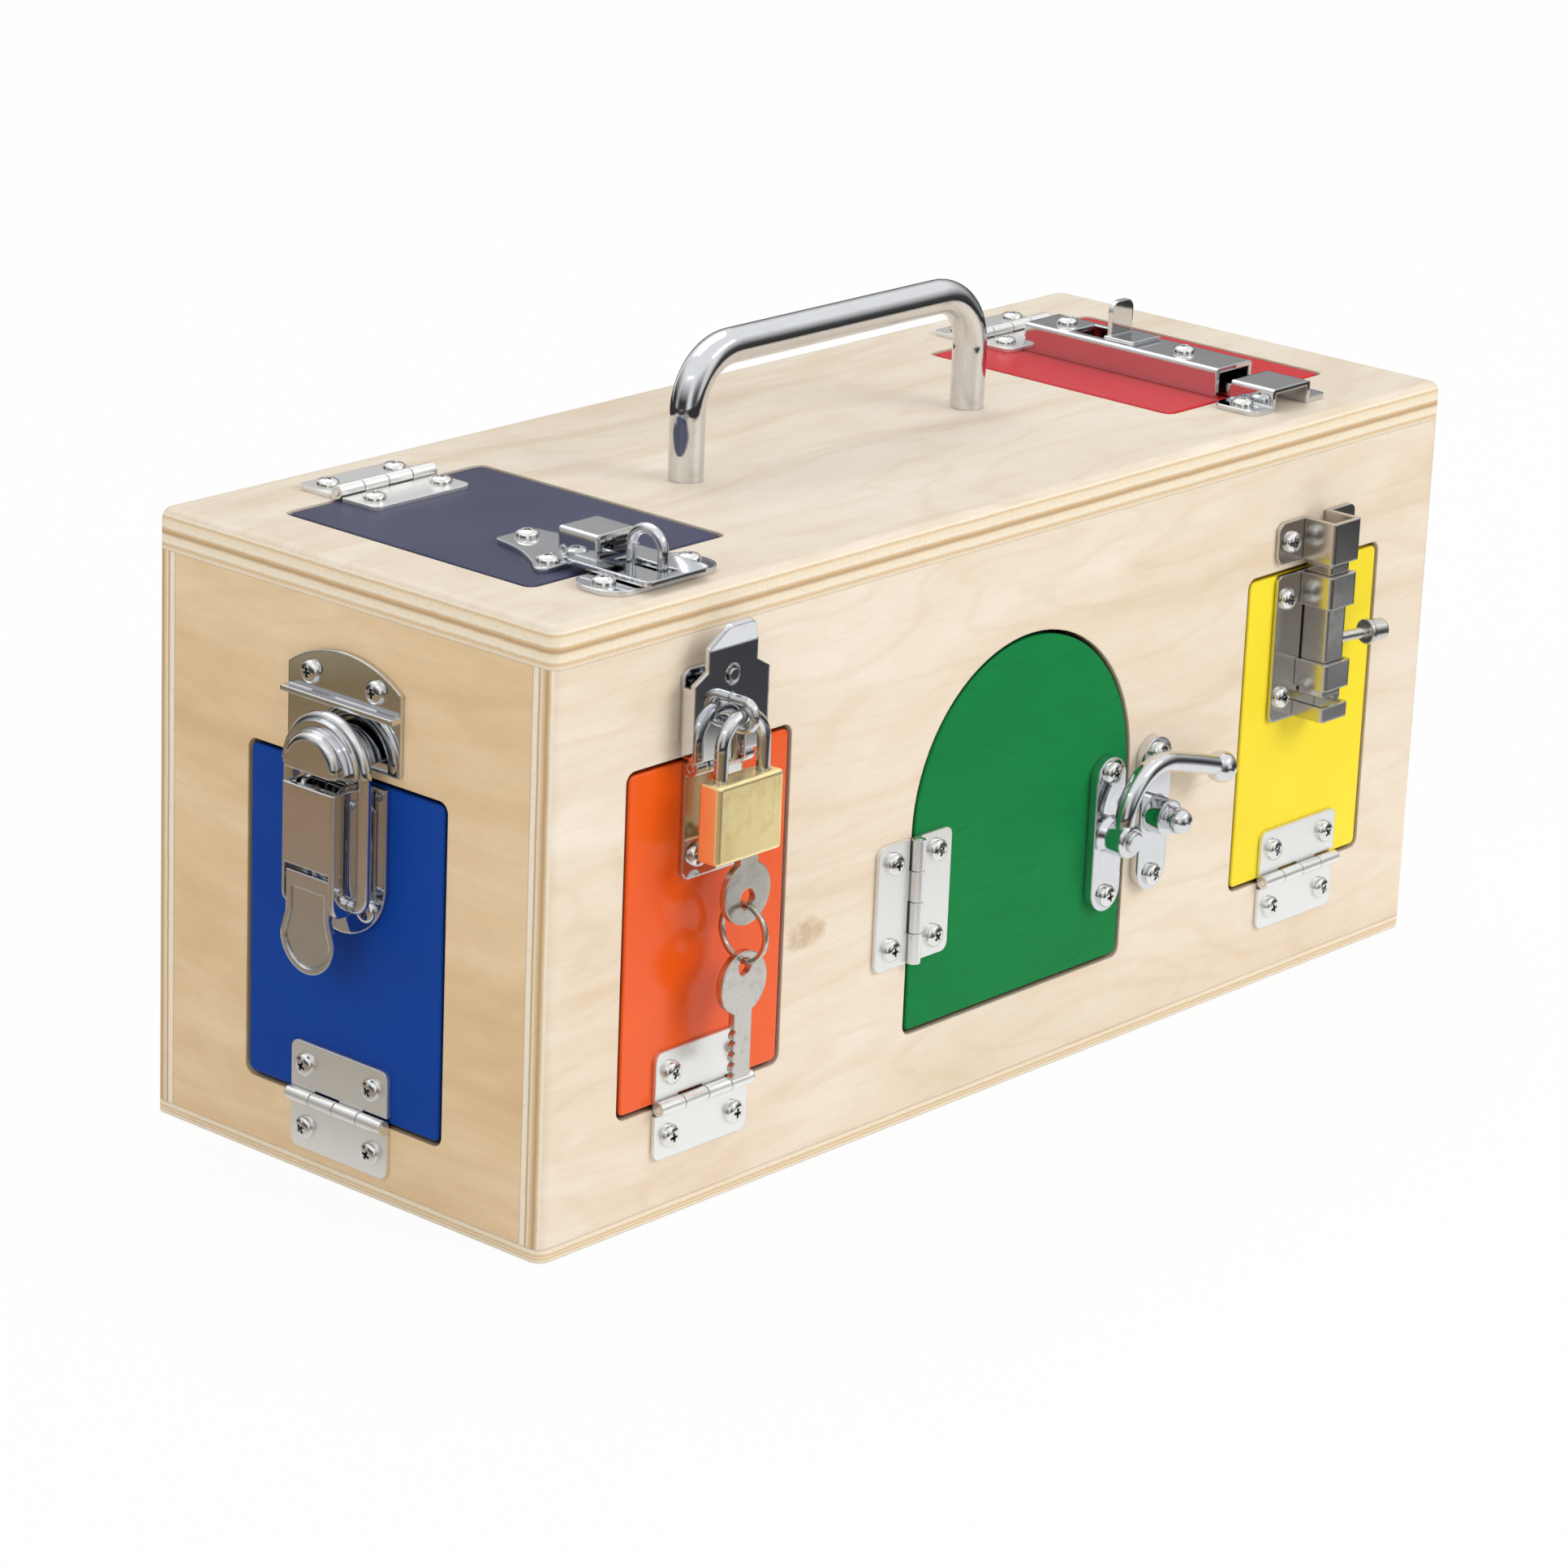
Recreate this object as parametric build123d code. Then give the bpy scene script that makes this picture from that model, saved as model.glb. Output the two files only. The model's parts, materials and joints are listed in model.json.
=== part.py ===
from build123d import *
import os

# A lock box: a plywood box with six coloured doors, each with its own hinge and latch.
# Millimetres. Origin at the middle of the underside, +X along the box, -Y the front, +Z up.
# Hardware is drawn in its door's own frame: u along the hinge edge, v from the hinge edge
# towards the latch edge, w out of the face. A latch's v is zero at the opening's latch edge.

# Running clearances, and one overrun for every cut
overrun = 5
running_gap = 0.3
pin_play = 0.05
hole_play = 0.1
pilot_play = 0.05

# Box
box_length = 305
box_width = 118
box_height = 138
side_thickness = 6
top_thickness = 9
bottom_thickness = 3
corner_radius = 3
top_edge_radius = 2.5

# Doors and their openings
kerf = 1
opening_corner = 2.5
door_edge_radius = 0.6
front_door_end_margin = 22
front_door_width = 51
front_door_sill = 25.7
front_door_header = 35.3
end_door_width = 59.6
end_door_sill = 17.3
end_door_header = 44.2
arched_door_span = 76.5
arched_door_sill = 20.7
arched_door_header = 31.7
arched_door_hardware_drop = 10.5
top_door_end_margin = 16.5
top_door_width = 60
top_door_depth = 73.6
top_door_setback = 37.8

# Carrying handle
handle_rod = 8
handle_door_gap = 28
handle_rise = 32
handle_bend = 13
handle_offset = -2.5
handle_bolt_diameter = 4
handle_bolt_depth = 12
handle_bolt_head = 8
handle_bolt_head_height = 2.5

# Hinges
hinge_length = 29
hinge_reach = 12.2
hinge_leaf_thickness = 1
hinge_leaf_corner = 2
hinge_barrel_diameter = 3.2
hinge_barrel_lift = 0.15
hinge_pin_diameter = 1.6
hinge_knuckles = 4
hinge_knuckle_gap = 0.25
hinge_screw_spacing = 20
hinge_screw_reach = 7.2

# Screws
screw_head_diameter = 5.2
screw_head_height = 1.7
screw_head_round = 1.2
screw_shank_diameter = 2.4
screw_bite = 4.5
screw_recess_span = 3
screw_recess_width = 0.8
screw_recess_depth = 1

# Latch sheet metal
sheet = 1.2

# Blue draw latch
blue_strike_half = 16.6
blue_strike_low_v = 2.2
blue_strike_side_v = 20.2
blue_strike_top_v = 25.6
blue_strike_screw_u = 9.6
blue_strike_screw_v = 19.4
blue_ledge_gap = 0.4
blue_ledge_height = 3.6
blue_boss_gap = 0.7
blue_boss_low_v = 3.4
blue_boss_height = 6.2
blue_base_half = 13
blue_base_top_v = -1.3
blue_base_round_v = -22.8
blue_base_screw_u = 8
blue_base_screw_v = -29
blue_base_middle_screw_v = -13
blue_cheek_gap = 0.65
blue_cheek_radius = 3.5
blue_pivot_v = -4.8
blue_pivot_w = 5
blue_pivot_diameter = 2
blue_lever_half = 7.65
blue_lever_wall = 1
blue_lever_front_w = 11.5
blue_lever_low_v = -29.3
blue_lever_front_low_v = -19.3
blue_lever_round = 3.5
blue_lever_edge = 0.8
blue_pin_overhang = 0.65
blue_bail_wire = 3
blue_bail_half = 11
blue_bail_end_v = -26.8
blue_bail_bend = 2
blue_bail_grip_share = 0.75
blue_arch_v = 1.3
blue_cap_low_v = 1.7
blue_web_thickness = 1.4
blue_web_seat_share = 0.4
blue_step_radius = 9.3
blue_step_height = 1.4
blue_dome_radius = 7.65
blue_dome_v = 2.6
blue_dome_height = 3.3
blue_dome_round = 1.5
blue_catch_v = -22.8
blue_catch_w = 9.6
blue_catch_barrel = 3
blue_catch_pin_diameter = 1.6
blue_catch_top_v = -20.8
blue_catch_neck_v = -29.8
blue_catch_round_v = -34.9
blue_catch_round_radius = 7.9
blue_catch_lip = 1.3
blue_catch_pocket_depth = 0.5

# Orange hasp
orange_axis_v = -2
orange_axis_w = 2.6
orange_knuckle = 3.6
orange_knuckle_half = 5
orange_pin_diameter = 1.8
orange_plate_half = 8.7
orange_plate_low_v = -27
orange_plate_top_v = -2.5
orange_plate_corner = 2
orange_plate_screw_u = 4.6
orange_plate_screw_v = -22
orange_staple_half = 10
orange_staple_low_v = 2.3
orange_staple_top_v = 19.3
orange_staple_corner = 2
orange_staple_screw_u = 7.3
orange_staple_screw_v = 10
orange_pedestal_half = 4.2
orange_pedestal_low_v = 4
orange_pedestal_top_v = 15
orange_pedestal_gap = 0.4
orange_nib_diameter = 3
orange_nib_v = 17.3
orange_nib_rise = 0.6
orange_nib_gap = 0.6
orange_strap_back_w = 4.2
orange_strap_root_v = 0
orange_strap_shoulder_v = 17
orange_strap_neck_half = 7.5
orange_strap_neck_v = 19.2
orange_strap_bend_v = 24
orange_strap_tip_half = 4
orange_strap_tip_length = 5.8
orange_strap_tip_round = 2
orange_strap_tip_angle = 25
orange_flange_low_v = 1
orange_flange_top_v = 16
orange_flange_drop = 2.2
orange_link_top_v = 2
orange_eye_v = 9.3
orange_eye_wire = 2.2
orange_eye_gap = 0.4

# Padlock and its keys
shackle_wire = 3
shackle_half = 6.5
shackle_exposed = 6.5
shackle_long_end = 11
shackle_short_end = 4.5
shackle_bore_spare = 1
padlock_half = 10
padlock_height = 17.5
padlock_depth = 6
padlock_edge_radius = 0.9
padlock_strap_gap = 0.5
plug_u = 2.4
plug_diameter = 4.6
plug_length = 7.2
keyway_length = 6.2
key_blade_width = 3.4
key_blade_thickness = 1.5
key_shoulder_width = 5.6
key_shoulder_length = 2.2
key_thickness = 1.6
key_bow_diameter = 14
key_bow_drop = 8.8
key_hole_diameter = 4.6
key_hole_drop = 1.3
ring_diameter = 12.5
ring_wire = 1.5
ring_gap = 0.15
spare_hole_diameter = 4
spare_hole_rise = 3.7
spare_blade_width = 5.4
spare_blade_length = 14.4
spare_notches = 5
spare_notch_depth = 1

# Green horn latch
green_plate_length = 36.8
green_plate_width = 10
green_plate_thickness = 2.5
green_screw_spacing = 29.5
green_pivot_v = -9.3
green_boss_radius = 4.4
green_boss_top_radius = 3.4
green_boss_top_w = 4.4
green_arm_gap = 0.2
green_arm_tube = 4.8
green_arm_disc_radius = 4.2
green_arm_disc_height = 5
green_arm_edge = 1.2
green_arm_rise = 15.3
green_arm_reach = 34.9
green_arm_shares = ((0.74, 0.08), (1.0, 0.44), (0.63, 1.0))
green_horn_ball = 7.6
green_rivet_diameter = 2.5
green_rivet_head = 5
green_rivet_head_height = 0.9
green_stud_v = 7.5
green_stud_rise = 1.2
green_stud_diameter = 8.6
green_stud_top_w = 7
green_stud_neck = 5
green_stud_ball = 6.2
green_stud_ball_w = 9.6

# Yellow barrel bolt
yellow_shift = -1.5
yellow_plate_half = 13.7
yellow_plate_low_v = -36.8
yellow_plate_top_v = -1
yellow_plate_corner = 1.5
yellow_plate_screw_u = 10.1
yellow_plate_screw_spacing = 24
yellow_bolt_width = 7
yellow_bolt_edge = 0.6
yellow_bolt_low_v = -31
yellow_bolt_tip_v = 1.2
yellow_bolt_tip_round = 0.4
yellow_bridge_fold = 1
yellow_bridges = ((-9, -1.2), (-29, -22.5), (-36.5, -33))
yellow_knob_v = -18.3
yellow_knob_tilt = 10
yellow_knob_neck = 2.6
yellow_knob_neck_length = 13.6
yellow_knob_head = 5.2
yellow_knob_head_length = 5.8
yellow_knob_edge = 0.6
yellow_knob_flange = 6.2
yellow_knob_flange_length = 1.4
yellow_knob_flange_edge = 0.4
yellow_keeper_low_v = 1.9
yellow_keeper_top_v = 11.9
yellow_keeper_half = 14.5
yellow_keeper_gap = 0.4
yellow_keeper_corner = 2
yellow_keeper_screw_u = 9.8

# Navy hasp
navy_shift = 6
navy_plate_back_half = 6
navy_plate_back_v = -28.3
navy_plate_front_half = 18
navy_plate_front_v = -5.2
navy_plate_waist_half = 9.4
navy_plate_waist_v = -15.8
navy_plate_corner = 1.8
navy_plate_rear_screw_v = -24.3
navy_plate_screw_u = 10.2
navy_plate_screw_v = -8.4
navy_axis_v = -8
navy_axis_w = 3
navy_knuckle = 3.6
navy_knuckle_half = 2.2
navy_pin_diameter = 1.8
navy_hump_half = 6
navy_hump_back = 1.6
navy_hump_front_v = 1.2
navy_hump_top_w = 8
navy_hump_edge = 0.8
navy_strap_half = 9.5
navy_strap_gap = 0.4
navy_strap_back_v = -4.8
navy_strap_front_v = 19.5
navy_strap_corner = 2
navy_slot_half = 2.2
navy_slot_gap = 1.4
navy_staple_half = 17
navy_staple_low_v = 2.7
navy_staple_top_v = 17.2
navy_staple_corner_share = 0.4
navy_staple_screw_u = 12.9
navy_ring_wire = 2.4
navy_ring_half = 4.5
navy_ring_straight_w = 6

# Red slide bolt
red_shift = 2.4
red_housing_half = 6.85
red_housing_low_v = -60.8
red_housing_top_v = -2.8
red_housing_height = 7
red_housing_edge = 0.8
red_rear_screw_v = -53.3
red_front_screw_v = -17.8
red_slot_half = 4.4
red_slot_low_v = -48.5
red_slot_top_v = -29.5
red_tongue_half = 4
red_tongue_low_v = -42
red_tongue_tip_v = 1.4
red_tongue_front_w = 3.4
red_tongue_tip_round = 2
red_screw_slot_width = 3.4
red_screw_slot_low_v = -25.6
red_screw_slot_top_v = -7
red_tab_low_v = -37.9
red_tab_top_w = 16
red_tab_round = 2.5
red_cover_half = 5.2
red_cover_top_v = -29
red_cover_lift = 0.1
red_cover_thickness = 0.8
red_keeper_half = 7.2
red_keeper_foot_half = 14
red_keeper_low_v = 1.9
red_keeper_top_v = 14.2
red_keeper_height = 5.4
red_keeper_corner = 2
red_keeper_screw_u = 10.6

# Sizes that follow from those above
front_door_offset = box_length / 2 - front_door_end_margin - front_door_width / 2
front_door_height = box_height - front_door_sill - front_door_header
end_door_height = box_height - end_door_sill - end_door_header
arched_door_height = box_height - arched_door_sill - arched_door_header
top_door_offset = box_length / 2 - top_door_end_margin - top_door_width / 2
handle_span = 2 * (top_door_offset - top_door_width / 2 - handle_door_gap)

hinge_axis_w = hinge_barrel_lift + hinge_barrel_diameter / 2
screw_top = sheet + screw_head_height

blue_lever_inner = blue_lever_half - blue_lever_wall
blue_lever_back_w = screw_top + running_gap
blue_lever_eye = blue_pivot_w - sheet - 2 * running_gap
blue_lever_top_v = blue_pivot_v + blue_lever_eye
blue_boss_radius = blue_bail_half - blue_bail_wire / 2 - blue_boss_gap
blue_ledge_v = blue_arch_v + blue_bail_half + blue_bail_wire / 2 + blue_ledge_gap
blue_web_w = blue_boss_height + 2 * running_gap
blue_web_top_w = blue_web_w + blue_web_thickness
blue_bail_w = blue_web_w - blue_web_seat_share * blue_bail_wire

orange_flange_u = orange_staple_screw_u + screw_head_diameter / 2 + running_gap
orange_strap_half = orange_flange_u + sheet
orange_strap_front_w = orange_strap_back_w + sheet
orange_eye_radius = (shackle_wire + orange_eye_wire) / 2 + orange_eye_gap

padlock_w = orange_strap_front_w + padlock_strap_gap + padlock_depth / 2
shackle_arch_v = orange_eye_v - shackle_half
padlock_top_v = shackle_arch_v - shackle_exposed
padlock_low_v = padlock_top_v - padlock_height
key_bow_v = padlock_low_v - key_bow_drop
key_hole_v = key_bow_v - key_hole_drop
ring_top_v = key_hole_v - key_hole_diameter / 2 + ring_wire / 2 + ring_gap
ring_low_v = ring_top_v - ring_diameter
spare_hole_v = ring_low_v + ring_wire / 2 + ring_gap - spare_hole_diameter / 2
spare_bow_v = spare_hole_v - spare_hole_rise

green_arm_low_w = green_boss_top_w + green_arm_gap
green_arm_w = green_arm_low_w + green_arm_disc_height / 2
green_arm_top_w = green_arm_low_w + green_arm_disc_height

yellow_bolt_w = sheet + running_gap + yellow_bolt_width / 2

navy_strap_back_w = sheet + navy_strap_gap
navy_hump_inner = navy_hump_half - sheet
navy_ring_v = (navy_staple_low_v + navy_staple_top_v) / 2
navy_slot_reach = navy_ring_half + navy_ring_wire / 2 + navy_slot_gap

red_cover_w = red_housing_height + red_cover_lift

doors = {
    "blue": dict(panel="left_end_panel", origin=(-box_length / 2, 0, end_door_sill),
                 along=(0, -1, 0), out=(-1, 0, 0), width=end_door_width, height=end_door_height,
                 thickness=side_thickness, drop=0, arched=False),
    "orange": dict(panel="front_panel", origin=(-front_door_offset, -box_width / 2, front_door_sill),
                   along=(1, 0, 0), out=(0, -1, 0), width=front_door_width, height=front_door_height,
                   thickness=side_thickness, drop=0, arched=False),
    "green": dict(panel="front_panel",
                  origin=(-arched_door_span / 2, -box_width / 2, arched_door_sill + arched_door_height / 2),
                  along=(0, 0, -1), out=(0, -1, 0), width=arched_door_height, height=arched_door_span,
                  thickness=side_thickness, drop=arched_door_hardware_drop, arched=True),
    "yellow": dict(panel="front_panel", origin=(front_door_offset, -box_width / 2, front_door_sill),
                   along=(1, 0, 0), out=(0, -1, 0), width=front_door_width, height=front_door_height,
                   thickness=side_thickness, drop=0, arched=False),
    "navy": dict(panel="top_panel", origin=(-top_door_offset, top_door_setback, box_height),
                 along=(-1, 0, 0), out=(0, 0, 1), width=top_door_width, height=top_door_depth,
                 thickness=top_thickness, drop=0, arched=False),
    "red": dict(panel="top_panel", origin=(top_door_offset, top_door_setback, box_height),
                along=(-1, 0, 0), out=(0, 0, 1), width=top_door_width, height=top_door_depth,
                thickness=top_thickness, drop=0, arched=False),
}


# Plain shapes in a door's frame

def block(u0, u1, v0, v1, w0, w1):
    return Pos((u0 + u1) / 2, (v0 + v1) / 2, (w0 + w1) / 2) * Box(u1 - u0, v1 - v0, w1 - w0)


def slab(half, v0, v1, w0, w1):
    return block(-half, half, v0, v1, w0, w1)


def bar_u(u0, u1, v, w, diameter):
    return Pos((u0 + u1) / 2, v, w) * Rot(0, 90, 0) * Cylinder(diameter / 2, u1 - u0)


def bar_v(v0, v1, u, w, diameter):
    return Pos(u, (v0 + v1) / 2, w) * Rot(90, 0, 0) * Cylinder(diameter / 2, v1 - v0)


def bar_w(w0, w1, u, v, diameter):
    return Pos(u, v, (w0 + w1) / 2) * Cylinder(diameter / 2, w1 - w0)


def both_sides(shape):
    return shape + mirror(shape, about=Plane.YZ)


def flat(half, v0, v1, corner=0):
    middle = Pos(0, (v0 + v1) / 2)
    if corner:
        return middle * RectangleRounded(2 * half, v1 - v0, corner)
    return middle * Rectangle(2 * half, v1 - v0)


def sheet_of(outline, back=0, thickness=sheet):
    return Pos(0, 0, back) * extrude(outline, amount=thickness)


def rod(edges, diameter):
    path = Wire(edges)
    section = Plane(origin=path @ 0, z_dir=path % 0) * Circle(diameter / 2)
    return sweep(section, path=path)


# A wire bent into a U that stands on the face, across the latch edge
def standing_loop(v, half, foot_w, straight_w, wire):
    up = Line((-half, foot_w), (-half, straight_w))
    over = JernArc(up @ 1, up % 1, half, -180)
    down = Line(over @ 1, (half, foot_w))
    return Plane.YZ.location * Pos(v, 0, 0) * rod([up, over, down], wire)


def round_top(shape, radius):
    return fillet(shape.edges().group_by(Axis.Z)[-1], radius)


# The two outer edges along v of a shape's front face
def front_corners(shape):
    across = shape.edges().filter_by(Axis.Y).group_by(Axis.Z)[-1].group_by(Axis.X)
    return across[0] + across[-1]


# Screws, and the holes that they go through

def screw(seat):
    head = round_top(bar_w(0, screw_head_height, 0, 0, screw_head_diameter), screw_head_round)
    recess_floor = screw_head_height - screw_recess_depth
    recess = slab(screw_recess_span / 2, -screw_recess_width / 2, screw_recess_width / 2,
                  recess_floor, screw_head_height)
    shank = bar_w(-seat - screw_bite, 0, 0, 0, screw_shank_diameter)
    return Pos(0, 0, seat) * (head + shank - recess - Rot(0, 0, 90) * recess)


def drilled(plate, places):
    for u, v, seat in places:
        plate -= bar_w(-overrun, seat + overrun, u, v, screw_shank_diameter + 2 * hole_play)
    return plate


def pilot(depth):
    return bar_w(-depth, overrun, 0, 0, screw_shank_diameter + 2 * pilot_play)


def mirrored_places(u, v, seat):
    return [(-u, v, seat), (u, v, seat)]


# One hinge leaf, with its axis on v = 0 and the leaf on the +v side

hinge_screws = mirrored_places(hinge_screw_spacing / 2, hinge_screw_reach, hinge_leaf_thickness)


def hinge_leaf():
    pitch = hinge_length / hinge_knuckles
    notch = hinge_barrel_diameter / 2 + running_gap
    leaf = block(-hinge_length / 2, hinge_length / 2, notch, hinge_reach, 0, hinge_leaf_thickness)
    leaf = fillet(leaf.edges().filter_by(Axis.Z).group_by(Axis.Y)[-1], hinge_leaf_corner)
    for index in range(0, hinge_knuckles, 2):
        start = -hinge_length / 2 + index * pitch + hinge_knuckle_gap / 2
        end = start + pitch - hinge_knuckle_gap
        leaf += block(start, end, 0, notch, 0, hinge_leaf_thickness)
        leaf += bar_u(start, end, 0, hinge_axis_w, hinge_barrel_diameter)
    leaf -= bar_u(-hinge_length, hinge_length, 0, hinge_axis_w, hinge_pin_diameter + 2 * pin_play)
    return drilled(leaf, hinge_screws)


# Doors and openings

def opening(door, inset=0):
    width = door["width"] - 2 * inset
    height = door["height"] - 2 * inset
    corner = opening_corner - inset
    middle = door["height"] / 2
    if not door["arched"]:
        return Pos(0, middle) * RectangleRounded(width, height, corner)
    crown = height / 2
    spring = crown - width / 2
    straight = Pos((spring + width / 2) / 2, middle) * Rectangle(width / 2 - spring, height)
    straight = fillet(straight.vertices().group_by(Axis.X)[-1], corner)
    return straight + Pos(spring, middle) * Circle(crown)


def door_solid(door):
    solid = extrude(opening(door, kerf), amount=-door["thickness"])
    return fillet(solid.faces().sort_by(Axis.Z)[-1].edges(), door_edge_radius)


def door_frame(door):
    return Plane(origin=door["origin"], x_dir=door["along"], z_dir=door["out"]).location


def hinge_place(door):
    return door_frame(door) * Pos(door["drop"], kerf / 2, 0)


def latch_place(door):
    return door_frame(door) * Pos(door["drop"], door["height"], 0)


# Each latch returns its pieces, its screws into the door and its screws into the panel

def blue_latch():
    strike_screws = mirrored_places(blue_strike_screw_u, blue_strike_screw_v, sheet)
    low_left = (-blue_strike_half, blue_strike_low_v)
    low_right = (blue_strike_half, blue_strike_low_v)
    high_right = (blue_strike_half, blue_strike_side_v)
    high_left = (-blue_strike_half, blue_strike_side_v)
    strike = sheet_of(make_face([
        Line(low_left, low_right),
        Line(low_right, high_right),
        ThreePointArc(high_right, (0, blue_strike_top_v), high_left),
        Line(high_left, low_left),
    ]))
    strike += slab(blue_strike_half, blue_ledge_v, blue_ledge_v + sheet, 0, blue_ledge_height)
    boss = bar_w(0, blue_boss_height, 0, blue_arch_v, 2 * blue_boss_radius)
    strike += boss & slab(blue_boss_radius, blue_boss_low_v, blue_ledge_v, 0, blue_boss_height)
    strike = drilled(strike, strike_screws)

    base_screws = mirrored_places(blue_base_screw_u, blue_base_screw_v, sheet)
    base_screws.append((0, blue_base_middle_screw_v, sheet))
    base = sheet_of(flat(blue_base_half, blue_base_round_v, blue_base_top_v)
                    + Pos(0, blue_base_round_v) * Circle(blue_base_half))
    cheek_out = blue_lever_inner - blue_cheek_gap
    cheek_in = cheek_out - sheet
    cheek = bar_u(cheek_in, cheek_out, blue_pivot_v, blue_pivot_w, 2 * blue_cheek_radius)
    cheek += block(cheek_in, cheek_out, blue_pivot_v - blue_cheek_radius, blue_pivot_v + blue_cheek_radius,
                   0, blue_pivot_w)
    pivot_hole = bar_u(-blue_base_half, blue_base_half, blue_pivot_v, blue_pivot_w,
                       blue_pivot_diameter + 2 * pin_play)
    base = drilled(base + both_sides(cheek), base_screws) - pivot_hole

    wall = block(blue_lever_inner, blue_lever_half, blue_lever_low_v, blue_pivot_v,
                 blue_lever_back_w, blue_lever_front_w)
    wall = fillet(wall.edges().filter_by(Axis.X).group_by(Axis.Y)[0], blue_lever_round)
    wall += block(blue_lever_inner, blue_lever_half, blue_pivot_v, blue_lever_top_v,
                  blue_pivot_w, blue_lever_front_w)
    wall += bar_u(blue_lever_inner, blue_lever_half, blue_pivot_v, blue_pivot_w, 2 * blue_lever_eye)
    lever = both_sides(wall)
    lever += slab(blue_lever_half, blue_lever_front_low_v, blue_lever_top_v,
                  blue_lever_front_w - sheet, blue_lever_front_w)
    lever = fillet(front_corners(lever), blue_lever_edge)
    catch_hole = bar_u(-blue_base_half, blue_base_half, blue_catch_v, blue_catch_w,
                       blue_catch_pin_diameter + 2 * pin_play)
    bail_hole = bar_u(-blue_base_half, blue_base_half, blue_bail_end_v, blue_bail_w,
                      blue_bail_wire + 2 * hole_play)
    lever = lever - pivot_hole - catch_hole - bail_hole

    pin_half = blue_lever_half + blue_pin_overhang
    pivot_pin = bar_u(-pin_half, pin_half, blue_pivot_v, blue_pivot_w, blue_pivot_diameter)
    catch_pin = bar_u(-pin_half, pin_half, blue_catch_v, blue_catch_w, blue_catch_pin_diameter)

    tip_u = blue_lever_half - blue_bail_grip_share * blue_lever_wall
    first = Line((-tip_u, blue_bail_end_v), (blue_bail_bend - blue_bail_half, blue_bail_end_v))
    first_bend = JernArc(first @ 1, first % 1, blue_bail_bend, -90)
    left_leg = Line(first_bend @ 1, (-blue_bail_half, blue_arch_v))
    arch = JernArc(left_leg @ 1, left_leg % 1, blue_bail_half, -180)
    right_leg = Line(arch @ 1, (blue_bail_half, blue_bail_end_v + blue_bail_bend))
    last_bend = JernArc(right_leg @ 1, right_leg % 1, blue_bail_bend, -90)
    last = Line(last_bend @ 1, (tip_u, blue_bail_end_v))
    wire = rod([first, first_bend, left_leg, arch, right_leg, last_bend, last], blue_bail_wire)
    above = slab(blue_bail_half, blue_cap_low_v, blue_ledge_v, 0, blue_lever_front_w + overrun)
    web = bar_w(blue_web_w, blue_web_top_w, 0, blue_arch_v, 2 * blue_bail_half)
    step = bar_w(blue_web_top_w, blue_web_top_w + blue_step_height, 0, blue_arch_v, 2 * blue_step_radius)
    dome = bar_w(blue_web_top_w, blue_web_top_w + blue_dome_height, 0, blue_dome_v, 2 * blue_dome_radius)
    cap = (web + step + round_top(dome, blue_dome_round)) & above
    bail = Pos(0, 0, blue_bail_w) * wire + cap

    catch_half = blue_lever_inner - running_gap
    right_side = [(catch_half, blue_catch_top_v), (catch_half, blue_catch_neck_v),
                  (blue_catch_round_radius, blue_catch_round_v)]
    left_side = [(-u, v) for u, v in reversed(right_side)]
    lowest = (0, blue_catch_round_v - blue_catch_round_radius)
    round_end = ThreePointArc(right_side[-1], lowest, left_side[0])
    catch_outline = make_face([Polyline(*right_side), round_end, Polyline(*left_side),
                               Line(left_side[-1], right_side[0])])
    catch_front_w = blue_catch_w + blue_catch_barrel / 2
    catch = sheet_of(catch_outline, catch_front_w - sheet)
    below_barrel = slab(blue_catch_round_radius, lowest[1], blue_catch_v - blue_catch_barrel / 2,
                        catch_front_w - blue_catch_pocket_depth, catch_front_w)
    pocket = extrude(offset(catch_outline, -blue_catch_lip), amount=catch_front_w)
    catch -= pocket & below_barrel
    catch += bar_u(-catch_half, catch_half, blue_catch_v, blue_catch_w, blue_catch_barrel)
    catch -= catch_hole

    pieces = {"blue_strike": [strike], "blue_latch_base": [base], "blue_latch_lever": [lever],
              "blue_latch_bail": [bail], "blue_latch_catch": [catch],
              "blue_latch_pins": [pivot_pin, catch_pin]}
    return pieces, base_screws, strike_screws


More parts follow.
